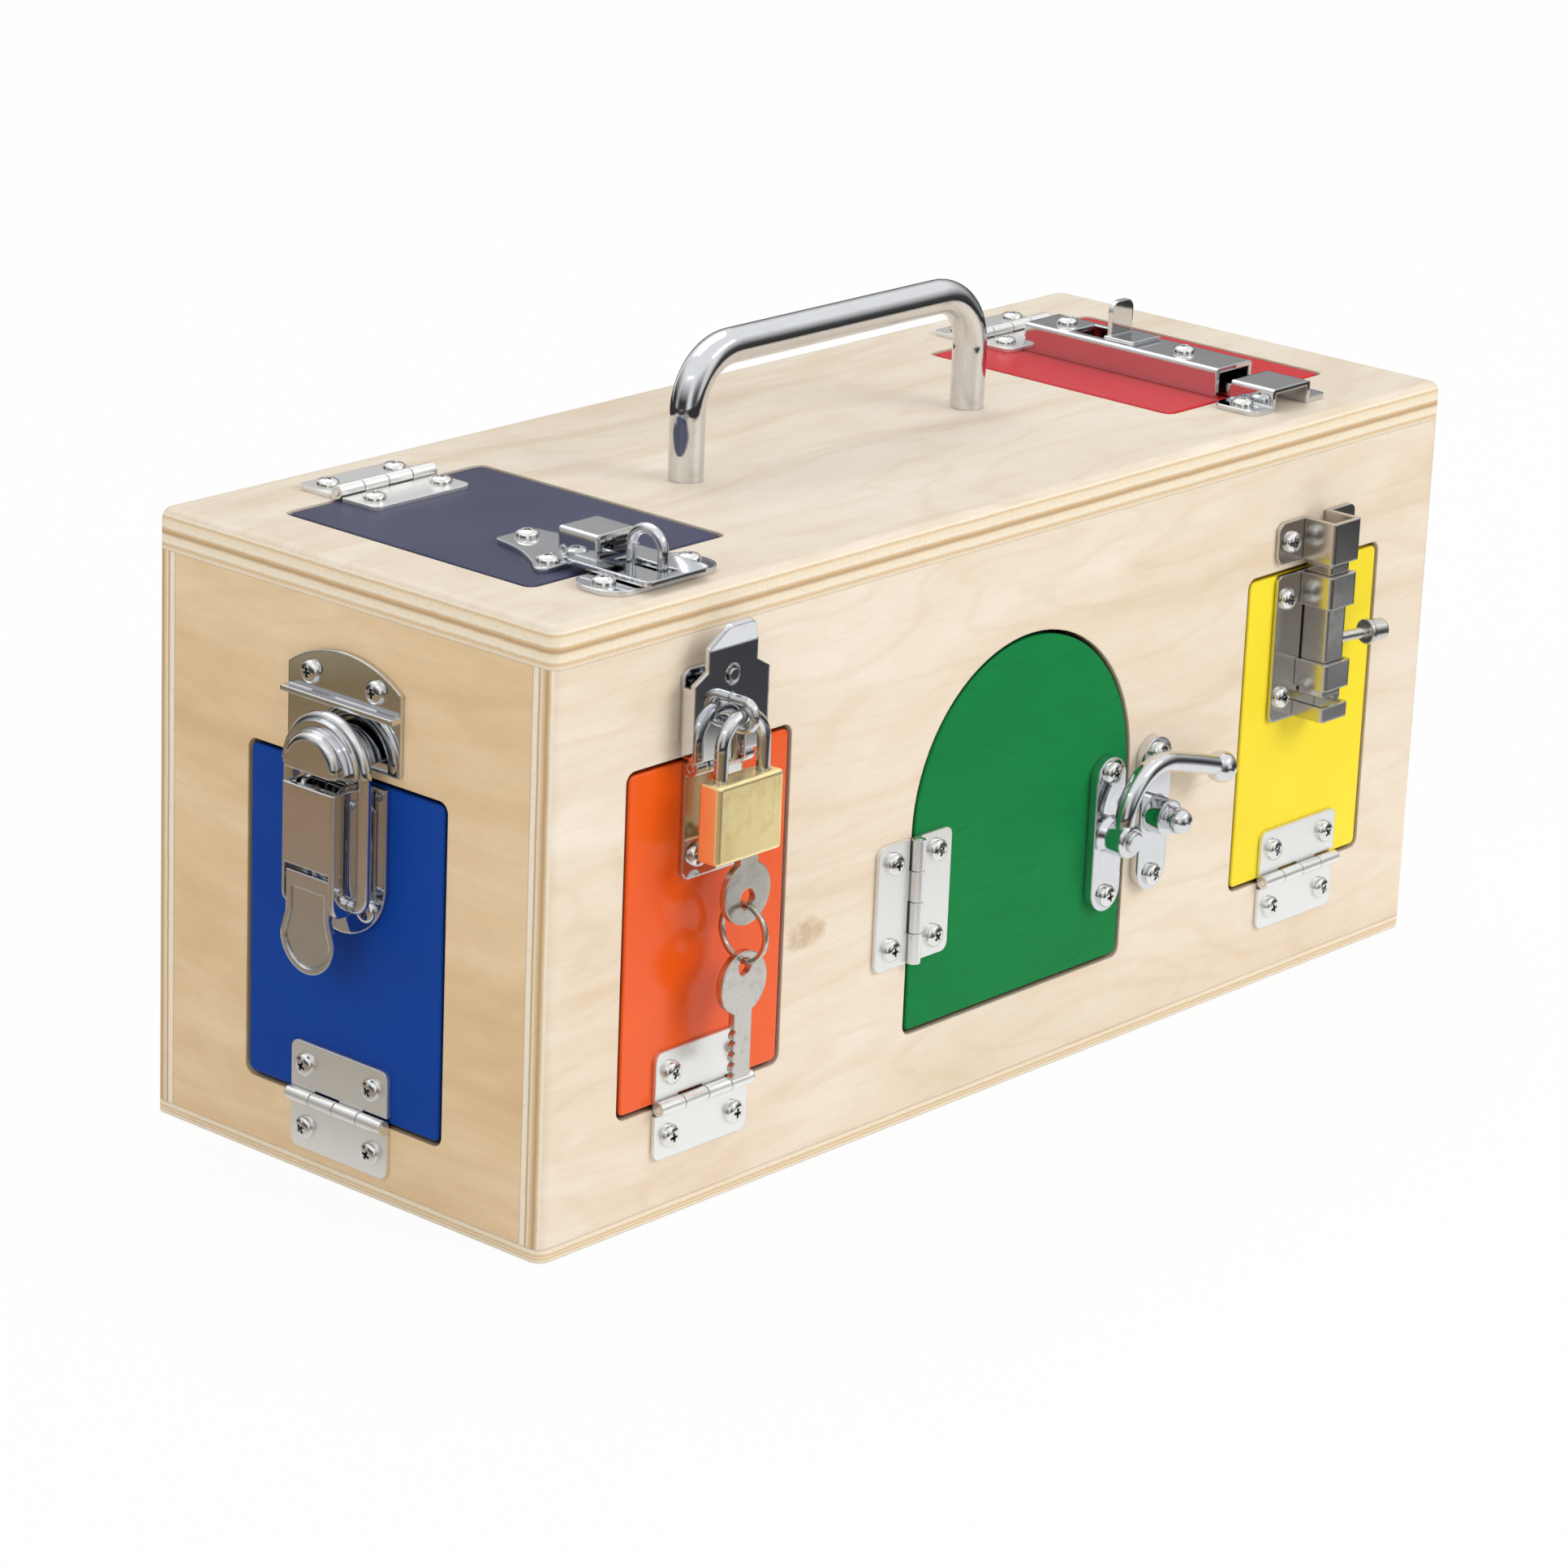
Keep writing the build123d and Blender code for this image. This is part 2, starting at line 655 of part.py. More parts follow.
def orange_latch():
    plate_screws = mirrored_places(orange_plate_screw_u, orange_plate_screw_v, sheet)
    staple_screws = mirrored_places(orange_staple_screw_u, orange_staple_screw_v, sheet)
    barrel_hole = bar_u(-orange_strap_half, orange_strap_half, orange_axis_v, orange_axis_w,
                        orange_pin_diameter + 2 * pin_play)
    knuckle_radius = orange_knuckle / 2
    knuckle_in = orange_knuckle_half + running_gap

    plate = sheet_of(flat(orange_plate_half, orange_plate_low_v, orange_plate_top_v, orange_plate_corner))
    notch_v = orange_axis_v - knuckle_radius - running_gap
    plate -= slab(knuckle_in, notch_v, orange_plate_top_v + overrun, 0, sheet)
    knuckle = bar_u(knuckle_in, orange_plate_half, orange_axis_v, orange_axis_w, orange_knuckle)
    knuckle += block(knuckle_in, orange_plate_half, orange_axis_v - knuckle_radius,
                     orange_axis_v + knuckle_radius / 2, 0, orange_axis_w)
    plate = drilled(plate + both_sides(knuckle) - barrel_hole, plate_screws)

    staple = sheet_of(flat(orange_staple_half, orange_staple_low_v, orange_staple_top_v,
                           orange_staple_corner))
    staple += slab(orange_pedestal_half, orange_pedestal_low_v, orange_pedestal_top_v,
                   0, orange_strap_back_w - orange_pedestal_gap)
    staple += bar_w(0, orange_strap_front_w + orange_nib_rise, 0, orange_nib_v, orange_nib_diameter)
    staple = drilled(staple, staple_screws)

    right_side = [(orange_strap_half, orange_strap_root_v), (orange_strap_half, orange_strap_shoulder_v),
                  (orange_strap_neck_half, orange_strap_neck_v),
                  (orange_strap_neck_half, orange_strap_bend_v)]
    left_side = [(-u, v) for u, v in reversed(right_side)]
    strap = sheet_of(make_face(Polyline(*right_side, *left_side, close=True)), orange_strap_back_w)
    tip = Polygon((-orange_strap_neck_half, 0), (orange_strap_neck_half, 0),
                  (orange_strap_tip_half, orange_strap_tip_length),
                  (-orange_strap_tip_half, orange_strap_tip_length), align=None)
    tip = fillet(tip.vertices().group_by(Axis.Y)[-1], orange_strap_tip_round)
    strap += (Pos(0, orange_strap_bend_v, orange_strap_back_w) * Rot(orange_strap_tip_angle, 0, 0)
              * extrude(tip, amount=sheet))
    strap += both_sides(block(orange_flange_u, orange_strap_half, orange_flange_low_v, orange_flange_top_v,
                              orange_strap_back_w - orange_flange_drop, orange_strap_front_w))
    strap += slab(orange_knuckle_half, orange_axis_v, orange_link_top_v, orange_axis_w, orange_strap_front_w)
    strap += bar_u(-orange_knuckle_half, orange_knuckle_half, orange_axis_v, orange_axis_w, orange_knuckle)
    strap += standing_loop(orange_eye_v, orange_eye_radius, orange_strap_back_w + sheet / 2, padlock_w,
                           orange_eye_wire)
    strap -= barrel_hole
    strap -= bar_w(0, orange_strap_front_w + overrun, 0, orange_nib_v,
                   orange_nib_diameter + 2 * orange_nib_gap)
    pin = bar_u(-orange_plate_half, orange_plate_half, orange_axis_v, orange_axis_w, orange_pin_diameter)

    pieces = {"orange_hasp_plate": [plate], "orange_staple": [staple], "orange_hasp_strap": [strap],
              "orange_hasp_pin": [pin], **padlock()}
    return pieces, plate_screws, staple_screws


def key_bow(middle_v, hole_v, hole_diameter):
    low_w = padlock_w - key_thickness / 2
    bow = bar_w(low_w, low_w + key_thickness, plug_u, middle_v, key_bow_diameter)
    return bow - bar_w(0, padlock_w + overrun, plug_u, hole_v, hole_diameter)


def padlock():
    long_end_v = padlock_top_v - shackle_long_end
    up = Line((-shackle_half, padlock_top_v - shackle_short_end), (-shackle_half, shackle_arch_v))
    over = JernArc(up @ 1, up % 1, shackle_half, -180)
    down = Line(over @ 1, (shackle_half, long_end_v))
    shackle = Pos(0, 0, padlock_w) * rod([up, over, down], shackle_wire)

    half_depth = padlock_depth / 2
    body = slab(padlock_half, padlock_low_v, padlock_top_v, padlock_w - half_depth, padlock_w + half_depth)
    body = fillet(body.edges(), padlock_edge_radius)
    for side in (-shackle_half, shackle_half):
        body -= bar_v(long_end_v - shackle_bore_spare, padlock_top_v + overrun, side, padlock_w,
                      shackle_wire + 2 * hole_play)
    plug_top_v = padlock_low_v + plug_length
    body -= bar_v(padlock_low_v - overrun, plug_top_v + running_gap, plug_u, padlock_w,
                  plug_diameter + 2 * hole_play)

    keyway_half = key_blade_width / 2 + hole_play
    keyway_w = key_blade_thickness / 2 + hole_play
    keyway_top_v = padlock_low_v + keyway_length
    plug = bar_v(padlock_low_v, plug_top_v, plug_u, padlock_w, plug_diameter)
    plug -= block(plug_u - keyway_half, plug_u + keyway_half, padlock_low_v - overrun, keyway_top_v,
                  padlock_w - keyway_w, padlock_w + keyway_w)

    half_blade = key_blade_thickness / 2
    half_key = key_thickness / 2
    key = key_bow(key_bow_v, key_hole_v, key_hole_diameter)
    shoulder_v = padlock_low_v - running_gap
    key += block(plug_u - key_shoulder_width / 2, plug_u + key_shoulder_width / 2,
                 shoulder_v - key_shoulder_length, shoulder_v, padlock_w - half_key, padlock_w + half_key)
    key += block(plug_u - key_blade_width / 2, plug_u + key_blade_width / 2,
                 shoulder_v - key_shoulder_length, keyway_top_v - running_gap,
                 padlock_w - half_blade, padlock_w + half_blade)

    ring_place = Pos(plug_u, (ring_top_v + ring_low_v) / 2, padlock_w) * Rot(0, 90, 0)
    ring = ring_place * Torus(ring_diameter / 2, ring_wire / 2)

    blade_top_v = spare_bow_v - key_bow_diameter / 2
    blade_low_v = blade_top_v - spare_blade_length
    blade_left = plug_u - spare_blade_width / 2
    spare = key_bow(spare_bow_v, spare_hole_v, spare_hole_diameter)
    spare += block(blade_left, blade_left + spare_blade_width, blade_low_v,
                   spare_bow_v - key_bow_diameter / 4, padlock_w - half_key, padlock_w + half_key)
    notch_pitch = spare_blade_length / (spare_notches + 1)
    for index in range(spare_notches):
        notch_v = blade_low_v + (index + 1 / 2) * notch_pitch
        notch = Rot(0, 0, 45) * Box(spare_notch_depth, spare_notch_depth, padlock_w)
        spare -= Pos(blade_left, notch_v, padlock_w) * notch

    return {"padlock_shackle": [shackle], "padlock_body": [body], "padlock_plug": [plug],
            "padlock_key": [key], "key_ring": [ring], "spare_key": [spare]}


def green_latch():
    plate_top = green_plate_thickness
    half_spacing = green_screw_spacing / 2
    plate_screws = mirrored_places(half_spacing, green_pivot_v, plate_top)
    stud_screws = move_places(mirrored_places(half_spacing, green_stud_v, plate_top), -green_stud_rise, 0)
    slot_outline = SlotOverall(green_plate_length, green_plate_width)

    plate = Pos(0, green_pivot_v) * extrude(slot_outline, amount=plate_top)
    boss_height = green_boss_top_w - plate_top
    boss = Cone(green_boss_radius, green_boss_top_radius, boss_height)
    plate += Pos(0, green_pivot_v, plate_top + boss_height / 2) * boss
    rivet_hole = bar_w(0, green_arm_top_w + overrun, 0, green_pivot_v, green_rivet_diameter + 2 * pin_play)
    plate = drilled(plate, plate_screws) - rivet_hole

    points = [(0, green_pivot_v)]
    for rise, reach in green_arm_shares:
        points.append((-rise * green_arm_rise, green_pivot_v + reach * green_arm_reach))
    first = ThreePointArc(points[0], points[1], points[2])
    second = TangentArc(points[2], points[3], tangent=first % 1)
    arm = Pos(0, 0, green_arm_w) * rod([first, second], green_arm_tube)
    disc = bar_w(green_arm_low_w, green_arm_top_w, 0, green_pivot_v, 2 * green_arm_disc_radius)
    arm += round_top(disc, green_arm_edge)
    arm += Pos(points[3][0], points[3][1], green_arm_w) * Sphere(green_horn_ball / 2)
    arm -= rivet_hole

    rivet = bar_w(0, green_arm_top_w + hole_play, 0, green_pivot_v, green_rivet_diameter)
    rivet_head = bar_w(green_arm_top_w + hole_play, green_arm_top_w + hole_play + green_rivet_head_height,
                       0, green_pivot_v, green_rivet_head)
    rivet += round_top(rivet_head, green_rivet_head_height / 2)

    stud_u = -green_stud_rise
    stud = Pos(stud_u, green_stud_v) * extrude(slot_outline, amount=plate_top)
    stud += bar_w(0, green_stud_top_w, stud_u, green_stud_v, green_stud_diameter)
    stud += bar_w(0, green_stud_ball_w, stud_u, green_stud_v, green_stud_neck)
    stud += Pos(stud_u, green_stud_v, green_stud_ball_w) * Sphere(green_stud_ball / 2)
    stud = drilled(stud, stud_screws)

    pieces = {"green_latch_plate": [plate], "green_horn_arm": [arm], "green_pivot_rivet": [rivet],
              "green_stud_plate": [stud]}
    return pieces, plate_screws, stud_screws


# A folded sheet-metal bridge over a square bolt
def bridge(v0, v1, inner_half):
    outer_half = inner_half + sheet
    over = slab(outer_half, v0, v1, 0, yellow_bolt_w + outer_half)
    over = fillet(front_corners(over), yellow_bridge_fold)
    return over - slab(inner_half, v0, v1, sheet, yellow_bolt_w + inner_half)


def yellow_latch():
    plate_middle_v = (yellow_plate_low_v + yellow_plate_top_v) / 2
    plate_screws = []
    for side in (-1, 1):
        screw_v = plate_middle_v + side * yellow_plate_screw_spacing / 2
        plate_screws += mirrored_places(yellow_plate_screw_u, screw_v, sheet)
    plate = sheet_of(flat(yellow_plate_half, yellow_plate_low_v, yellow_plate_top_v, yellow_plate_corner))
    bolt_half = yellow_bolt_width / 2
    for low_v, top_v in yellow_bridges:
        plate += bridge(low_v, top_v, bolt_half + running_gap)
    plate = drilled(plate, plate_screws)

    bolt = slab(bolt_half, yellow_bolt_low_v, yellow_bolt_tip_v, yellow_bolt_w - bolt_half,
                yellow_bolt_w + bolt_half)
    bolt = fillet(front_corners(bolt), yellow_bolt_edge)
    bolt = fillet(bolt.edges().group_by(Axis.Y)[-1], yellow_bolt_tip_round)
    knob_place = Pos(0, yellow_knob_v, yellow_bolt_w) * Rot(0, -yellow_knob_tilt, 0)
    socket_u = bolt_half / 2
    bolt -= knob_place * bar_u(socket_u, yellow_bolt_width, 0, 0, yellow_knob_neck + 2 * pin_play)

    neck_end = yellow_knob_neck_length
    head = bar_u(neck_end, neck_end + yellow_knob_head_length, 0, 0, yellow_knob_head)
    head = fillet(head.edges().group_by(Axis.X)[-1], yellow_knob_edge)
    flange = bar_u(neck_end, neck_end + yellow_knob_flange_length, 0, 0, yellow_knob_flange)
    flange = fillet(flange.edges().filter_by(GeomType.CIRCLE), yellow_knob_flange_edge)
    knob = knob_place * (head + flange + bar_u(socket_u, neck_end, 0, 0, yellow_knob_neck))

    keeper_v = (yellow_keeper_low_v + yellow_keeper_top_v) / 2
    keeper_screws = mirrored_places(yellow_keeper_screw_u, keeper_v, sheet)
    channel = bolt_half + yellow_keeper_gap
    keeper = sheet_of(flat(yellow_keeper_half, yellow_keeper_low_v, yellow_keeper_top_v,
                           yellow_keeper_corner))
    keeper += bridge(yellow_keeper_low_v, yellow_keeper_top_v, channel)
    keeper -= slab(channel, yellow_keeper_low_v, yellow_keeper_top_v, 0, sheet)
    keeper = drilled(keeper, keeper_screws)

    pieces = {"yellow_bolt_plate": [plate], "yellow_bolt": [bolt], "yellow_bolt_knob": [knob],
              "yellow_keeper": [keeper]}
    return shifted(yellow_shift, pieces, plate_screws, keeper_screws)


def navy_latch():
    plate_screws = mirrored_places(navy_plate_screw_u, navy_plate_screw_v, sheet)
    plate_screws.append((0, navy_plate_rear_screw_v, sheet))
    barrel_hole = bar_u(-navy_hump_half, navy_hump_half, navy_axis_v, navy_axis_w,
                        navy_pin_diameter + 2 * pin_play)
    back_right = (navy_plate_back_half, navy_plate_back_v)
    front_right = (navy_plate_front_half, navy_plate_front_v)
    back_left = (-navy_plate_back_half, navy_plate_back_v)
    front_left = (-navy_plate_front_half, navy_plate_front_v)
    plate_outline = make_face([
        Line(front_left, front_right),
        ThreePointArc(front_right, (navy_plate_waist_half, navy_plate_waist_v), back_right),
        Line(back_right, back_left),
        ThreePointArc(back_left, (-navy_plate_waist_half, navy_plate_waist_v), front_left),
    ])
    plate_outline = fillet(plate_outline.vertices(), navy_plate_corner)
    plate = sheet_of(plate_outline)
    knuckle_radius = navy_knuckle / 2
    plate += slab(navy_knuckle_half, navy_axis_v - knuckle_radius, navy_axis_v + knuckle_radius,
                  0, navy_axis_w)
    plate += bar_u(-navy_knuckle_half, navy_knuckle_half, navy_axis_v, navy_axis_w, navy_knuckle)
    plate = drilled(plate - barrel_hole, plate_screws)

    hump_back_v = navy_axis_v - navy_hump_back
    wall = block(navy_hump_inner, navy_hump_half, hump_back_v, navy_hump_front_v,
                 navy_axis_w, navy_hump_top_w)
    wall += block(navy_hump_inner, navy_hump_half, navy_axis_v, navy_hump_front_v,
                  navy_strap_back_w, navy_axis_w)
    wall += bar_u(navy_hump_inner, navy_hump_half, navy_axis_v, navy_axis_w, 2 * navy_hump_back)
    inner_knuckle = navy_knuckle_half + running_gap
    wall += bar_u(inner_knuckle, navy_hump_inner, navy_axis_v, navy_axis_w, navy_knuckle)
    hump = both_sides(wall)
    hump += slab(navy_hump_half, hump_back_v, navy_hump_front_v, navy_hump_top_w - sheet, navy_hump_top_w)
    hump = fillet(front_corners(hump), navy_hump_edge)
    strap_outline = flat(navy_strap_half, navy_strap_back_v, navy_strap_front_v, navy_strap_corner)
    strap_outline -= flat(navy_hump_inner, navy_strap_back_v, navy_hump_front_v)
    strap_outline -= flat(navy_slot_half, navy_ring_v - navy_slot_reach, navy_ring_v + navy_slot_reach)
    strap = sheet_of(strap_outline, navy_strap_back_w) + hump - barrel_hole
    pin = bar_u(-navy_hump_half, navy_hump_half, navy_axis_v, navy_axis_w, navy_pin_diameter)

    staple_screws = mirrored_places(navy_staple_screw_u, navy_ring_v, sheet)
    staple_corner = navy_staple_corner_share * (navy_staple_top_v - navy_staple_low_v)
    staple = sheet_of(flat(navy_staple_half, navy_staple_low_v, navy_staple_top_v, staple_corner))
    staple += standing_loop(navy_ring_v, navy_ring_half, sheet / 2, navy_ring_straight_w, navy_ring_wire)
    staple = drilled(staple, staple_screws)

    pieces = {"navy_hasp_plate": [plate], "navy_hasp_strap": [strap], "navy_hasp_pin": [pin],
              "navy_staple": [staple]}
    return shifted(navy_shift, pieces, plate_screws, staple_screws)


def red_latch():
    housing_screws = [(0, red_rear_screw_v, red_housing_height), (0, red_front_screw_v, red_housing_height)]
    housing = slab(red_housing_half, red_housing_low_v, red_housing_top_v, 0, red_housing_height)
    housing = fillet(front_corners(housing), red_housing_edge)
    housing -= slab(red_housing_half - sheet, red_housing_low_v + sheet, red_housing_top_v,
                    0, red_housing_height - sheet)
    housing -= slab(red_slot_half, red_slot_low_v, red_slot_top_v, 0, red_housing_height)
    housing = drilled(housing, housing_screws)

    tongue_outline = flat(red_tongue_half, red_tongue_low_v, red_tongue_tip_v)
    tongue_outline = fillet(tongue_outline.vertices().group_by(Axis.Y)[-1], red_tongue_tip_round)
    tongue_outline -= flat(red_screw_slot_width / 2, red_screw_slot_low_v, red_screw_slot_top_v)
    bolt = sheet_of(tongue_outline, running_gap, red_tongue_front_w - running_gap)
    tab_front_v = red_tab_low_v + sheet
    tab = slab(red_tongue_half, red_tab_low_v, tab_front_v, red_tongue_front_w - sheet, red_tab_top_w)
    bolt += fillet(front_corners(tab), red_tab_round)
    bolt += slab(red_cover_half, red_tab_low_v, red_cover_top_v,
                 red_cover_w, red_cover_w + red_cover_thickness)

    keeper_v = (red_keeper_low_v + red_keeper_top_v) / 2
    keeper_screws = mirrored_places(red_keeper_screw_u, keeper_v, sheet)
    keeper = sheet_of(flat(red_keeper_foot_half, red_keeper_low_v, red_keeper_top_v, red_keeper_corner))
    bridge = slab(red_keeper_half, red_keeper_low_v, red_keeper_top_v, 0, red_keeper_height)
    keeper += fillet(front_corners(bridge), red_housing_edge)
    keeper -= slab(red_keeper_half - sheet, red_keeper_low_v, red_keeper_top_v,
                   0, red_keeper_height - sheet)
    keeper = drilled(keeper, keeper_screws)

    pieces = {"red_latch_housing": [housing], "red_latch_bolt": [bolt], "red_keeper": [keeper]}
    return shifted(red_shift, pieces, housing_screws, keeper_screws)


# Latches that sit off the middle of their door's latch edge
def shifted(shift, pieces, door_screws, panel_screws):
    moved = {node: [Pos(shift, 0, 0) * solid for solid in solids] for node, solids in pieces.items()}
    return moved, move_places(door_screws, shift, 0), move_places(panel_screws, shift, 0)


def move_places(places, along_u, along_v):
    return [(u + along_u, v + along_v, seat) for u, v, seat in places]


# Panels before their holes

def carcass():
    half_length = box_length / 2
    half_width = box_width / 2
    wall_top = box_height - top_thickness
    top = block(-half_length, half_length, -half_width, half_width, wall_top, box_height)
    top = fillet(top.edges().filter_by(Axis.Z), corner_radius)
    top = round_top(top, top_edge_radius)
    bottom = block(-half_length, half_length, -half_width, half_width, 0, bottom_thickness)
    bottom = fillet(bottom.edges().filter_by(Axis.Z), corner_radius)
    front = block(-half_length, half_length, -half_width, side_thickness - half_width,
                  bottom_thickness, wall_top)
    front = fillet(front.edges().filter_by(Axis.Z).group_by(Axis.Y)[0], corner_radius)
    back = block(-half_length, half_length, half_width - side_thickness, half_width,
                 bottom_thickness, wall_top)
    back = fillet(back.edges().filter_by(Axis.Z).group_by(Axis.Y)[-1], corner_radius)
    inner = half_width - side_thickness
    left = block(-half_length, side_thickness - half_length, -inner, inner, bottom_thickness, wall_top)
    right = block(half_length - side_thickness, half_length, -inner, inner, bottom_thickness, wall_top)
    return {"top_panel": top, "bottom_panel": bottom, "front_panel": front, "back_panel": back,
            "left_end_panel": left, "right_end_panel": right}


def handle():
    rod_w = box_height + handle_rise - handle_rod / 2
    left = handle_offset - handle_span / 2
    right = handle_offset + handle_span / 2
    path = FilletPolyline((left, 0, box_height), (left, 0, rod_w), (right, 0, rod_w), (right, 0, box_height),
                          radius=handle_bend)
    bent_rod = rod(path.edges(), handle_rod)
    bolts = []
    for x in (left, right):
        bent_rod -= bar_w(box_height, box_height + handle_bolt_depth, x, 0,
                          handle_bolt_diameter + 2 * pilot_play)
        under = box_height - top_thickness
        shank = bar_w(under, box_height + handle_bolt_depth, x, 0, handle_bolt_diameter)
        bolts.append(shank + bar_w(under - handle_bolt_head_height, under, x, 0, handle_bolt_head))
    return bent_rod, bolts, (left, right)


def save(node, solids):
    separate = [solid for shape in solids for solid in shape.solids()]
    export_step(separate[0] if len(separate) == 1 else Compound(separate), f"parts/{node}.step")


def main():
    os.makedirs("parts", exist_ok=True)
    panels = carcass()
    bent_rod, bolts, handle_legs = handle()
    for x in handle_legs:
        panels["top_panel"] -= bar_w(0, box_height + overrun, x, 0, handle_bolt_diameter + 2 * hole_play)

    latches = {"blue": blue_latch(), "orange": orange_latch(), "green": green_latch(),
               "yellow": yellow_latch(), "navy": navy_latch(), "red": red_latch()}
    leaf = hinge_leaf()
    pin = bar_u(-hinge_length / 2, hinge_length / 2, 0, hinge_axis_w, hinge_pin_diameter)
    frame_leaves = []
    pins = []
    panel_screws = []
    for name, door in doors.items():
        pieces, into_door, into_panel = latches[name]
        at_hinge = hinge_place(door)
        at_latch = latch_place(door)
        turned = at_hinge * Rot(0, 0, 180)
        frame_leaves.append(turned * leaf)
        pins.append(at_hinge * pin)
        save(f"{name}_hinge_leaf", [at_hinge * leaf])

        solid = door_frame(door) * door_solid(door)
        hole = extrude(opening(door), amount=door["thickness"] + overrun, both=True)
        panels[door["panel"]] -= door_frame(door) * hole
        door_screws = []
        for places, at in ((hinge_screws, at_hinge), (into_door, at_latch)):
            for u, v, seat in places:
                solid -= at * Pos(u, v, 0) * pilot(screw_bite)
                door_screws.append(at * Pos(u, v, 0) * screw(seat))
        for places, at in ((hinge_screws, turned), (into_panel, at_latch)):
            for u, v, seat in places:
                panels[door["panel"]] -= at * Pos(u, v, 0) * pilot(screw_bite)
                panel_screws.append(at * Pos(u, v, 0) * screw(seat))
        save(f"{name}_door", [solid])
        save(f"{name}_door_screws", door_screws)
        for node, solids in pieces.items():
            save(node, [at_latch * piece for piece in solids])

    for node, panel in panels.items():
        save(node, [panel])
    save("handle", [bent_rod])
    save("handle_bolts", bolts)
    save("frame_hinge_leaves", frame_leaves)
    save("hinge_pins", pins)
    save("panel_screws", panel_screws)


main()
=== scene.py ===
import json
import math

import bpy
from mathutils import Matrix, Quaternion, Vector


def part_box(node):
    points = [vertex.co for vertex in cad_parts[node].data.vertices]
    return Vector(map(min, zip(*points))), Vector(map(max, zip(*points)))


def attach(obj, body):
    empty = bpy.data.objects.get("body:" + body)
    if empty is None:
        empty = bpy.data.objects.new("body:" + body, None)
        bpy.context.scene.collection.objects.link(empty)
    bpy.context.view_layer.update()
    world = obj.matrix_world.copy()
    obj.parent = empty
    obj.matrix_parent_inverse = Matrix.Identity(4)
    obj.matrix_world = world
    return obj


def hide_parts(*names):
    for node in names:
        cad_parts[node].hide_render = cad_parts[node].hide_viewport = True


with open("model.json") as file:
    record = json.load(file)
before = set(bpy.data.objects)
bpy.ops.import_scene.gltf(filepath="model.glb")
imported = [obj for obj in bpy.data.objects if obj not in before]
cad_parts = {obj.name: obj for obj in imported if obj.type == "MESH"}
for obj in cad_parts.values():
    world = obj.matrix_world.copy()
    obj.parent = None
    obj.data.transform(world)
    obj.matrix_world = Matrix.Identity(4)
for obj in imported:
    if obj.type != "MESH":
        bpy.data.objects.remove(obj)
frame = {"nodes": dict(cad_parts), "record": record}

scene = bpy.context.scene
nodes = frame["nodes"]
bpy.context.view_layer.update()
mm = 0.001
print("frame loaded:", len(nodes), "nodes")


# A colour written as it is seen, 0 to 255, turned to the linear values that shaders use
def seen(red, green, blue):
    linear = []
    for part in (red, green, blue):
        share = part / 255
        linear.append(share / 12.92 if share <= 0.04045 else ((share + 0.055) / 1.055) ** 2.4)
    return (*linear, 1.0)


# One socket of a node tree: sums on it add Math nodes, and node() adds anything else
class Wire:
    def __init__(self, tree, socket=None):
        self.tree = tree
        self.socket = socket

    def node(self, kind, settings=None, sockets=None, out=0):
        made = self.tree.nodes.new(kind)
        for key, value in (settings or {}).items():
            if key == "stops":
                self.setStops(made.color_ramp, value)
            else:
                setattr(made, key, value)
        for key, value in (sockets or {}).items():
            for one in value if isinstance(value, list) else [value]:
                if isinstance(one, Wire):
                    self.tree.links.new(one.socket, made.inputs[key])
                else:
                    made.inputs[key].default_value = one
        return Wire(self.tree, made.outputs[out] if len(made.outputs) else None)

    def setStops(self, ramp, stops):
        while len(ramp.elements) < len(stops):
            ramp.elements.new(1.0)
        for element, (place, colour) in zip(ramp.elements, stops):
            element.position = place
            element.color = colour

    def math(self, operation, first, second=0.0):
        return self.node("ShaderNodeMath", {"operation": operation}, {0: first, 1: second})

    def blend(self, factor, first, second):
        return self.node("ShaderNodeMix", {"data_type": "RGBA"}, {0: factor, 6: first, 7: second}, 2)

    def __add__(self, other):
        return self.math("ADD", self, other)

    def __radd__(self, other):
        return self.math("ADD", other, self)

    def __sub__(self, other):
        return self.math("SUBTRACT", self, other)

    def __rsub__(self, other):
        return self.math("SUBTRACT", other, self)

    def __mul__(self, other):
        return self.math("MULTIPLY", self, other)

    def __rmul__(self, other):
        return self.math("MULTIPLY", other, self)

    def __truediv__(self, other):
        return self.math("DIVIDE", self, other)

    def __rtruediv__(self, other):
        return self.math("DIVIDE", other, self)

    def __pow__(self, other):
        return self.math("POWER", self, other)

    def __rpow__(self, other):
        return self.math("POWER", other, self)

    def __gt__(self, other):
        return self.math("GREATER_THAN", self, other)

    def __lt__(self, other):
        return self.math("LESS_THAN", self, other)


def newFinish(name):
    material = bpy.data.materials.new(name)
    material.use_nodes = True
    material.node_tree.nodes.clear()
    return material, Wire(material.node_tree)


def closeFinish(start, sockets):
    shader = start.node("ShaderNodeBsdfPrincipled", {}, sockets)
    start.node("ShaderNodeOutputMaterial", {}, {"Surface": shader})


# Object coordinates, in the order of the letters asked for
def objectAxes(start, order="XYZ"):
    place = start.node("ShaderNodeTexCoord", {}, {}, "Object")
    split = start.node("ShaderNodeSeparateXYZ", {}, {0: place})
    return [Wire(start.tree, split.socket.node.outputs[axis]) for axis in order]


# Noise with its own scale along each axis, moved by numbers or by other noise
def noise(start, axes, look, shift=(0.0, 0.0, 0.0)):
    parts = [axis * scale + move for axis, scale, move in zip(axes, look["scale"], shift)]
    place = start.node("ShaderNodeCombineXYZ", {}, dict(enumerate(parts)))
    return start.node("ShaderNodeTexNoise", {}, {
        "Vector": place, "Scale": 1.0, "Detail": look["detail"], "Roughness": look.get("roughness", 0.5),
        "Distortion": look.get("distortion", 0.0)})


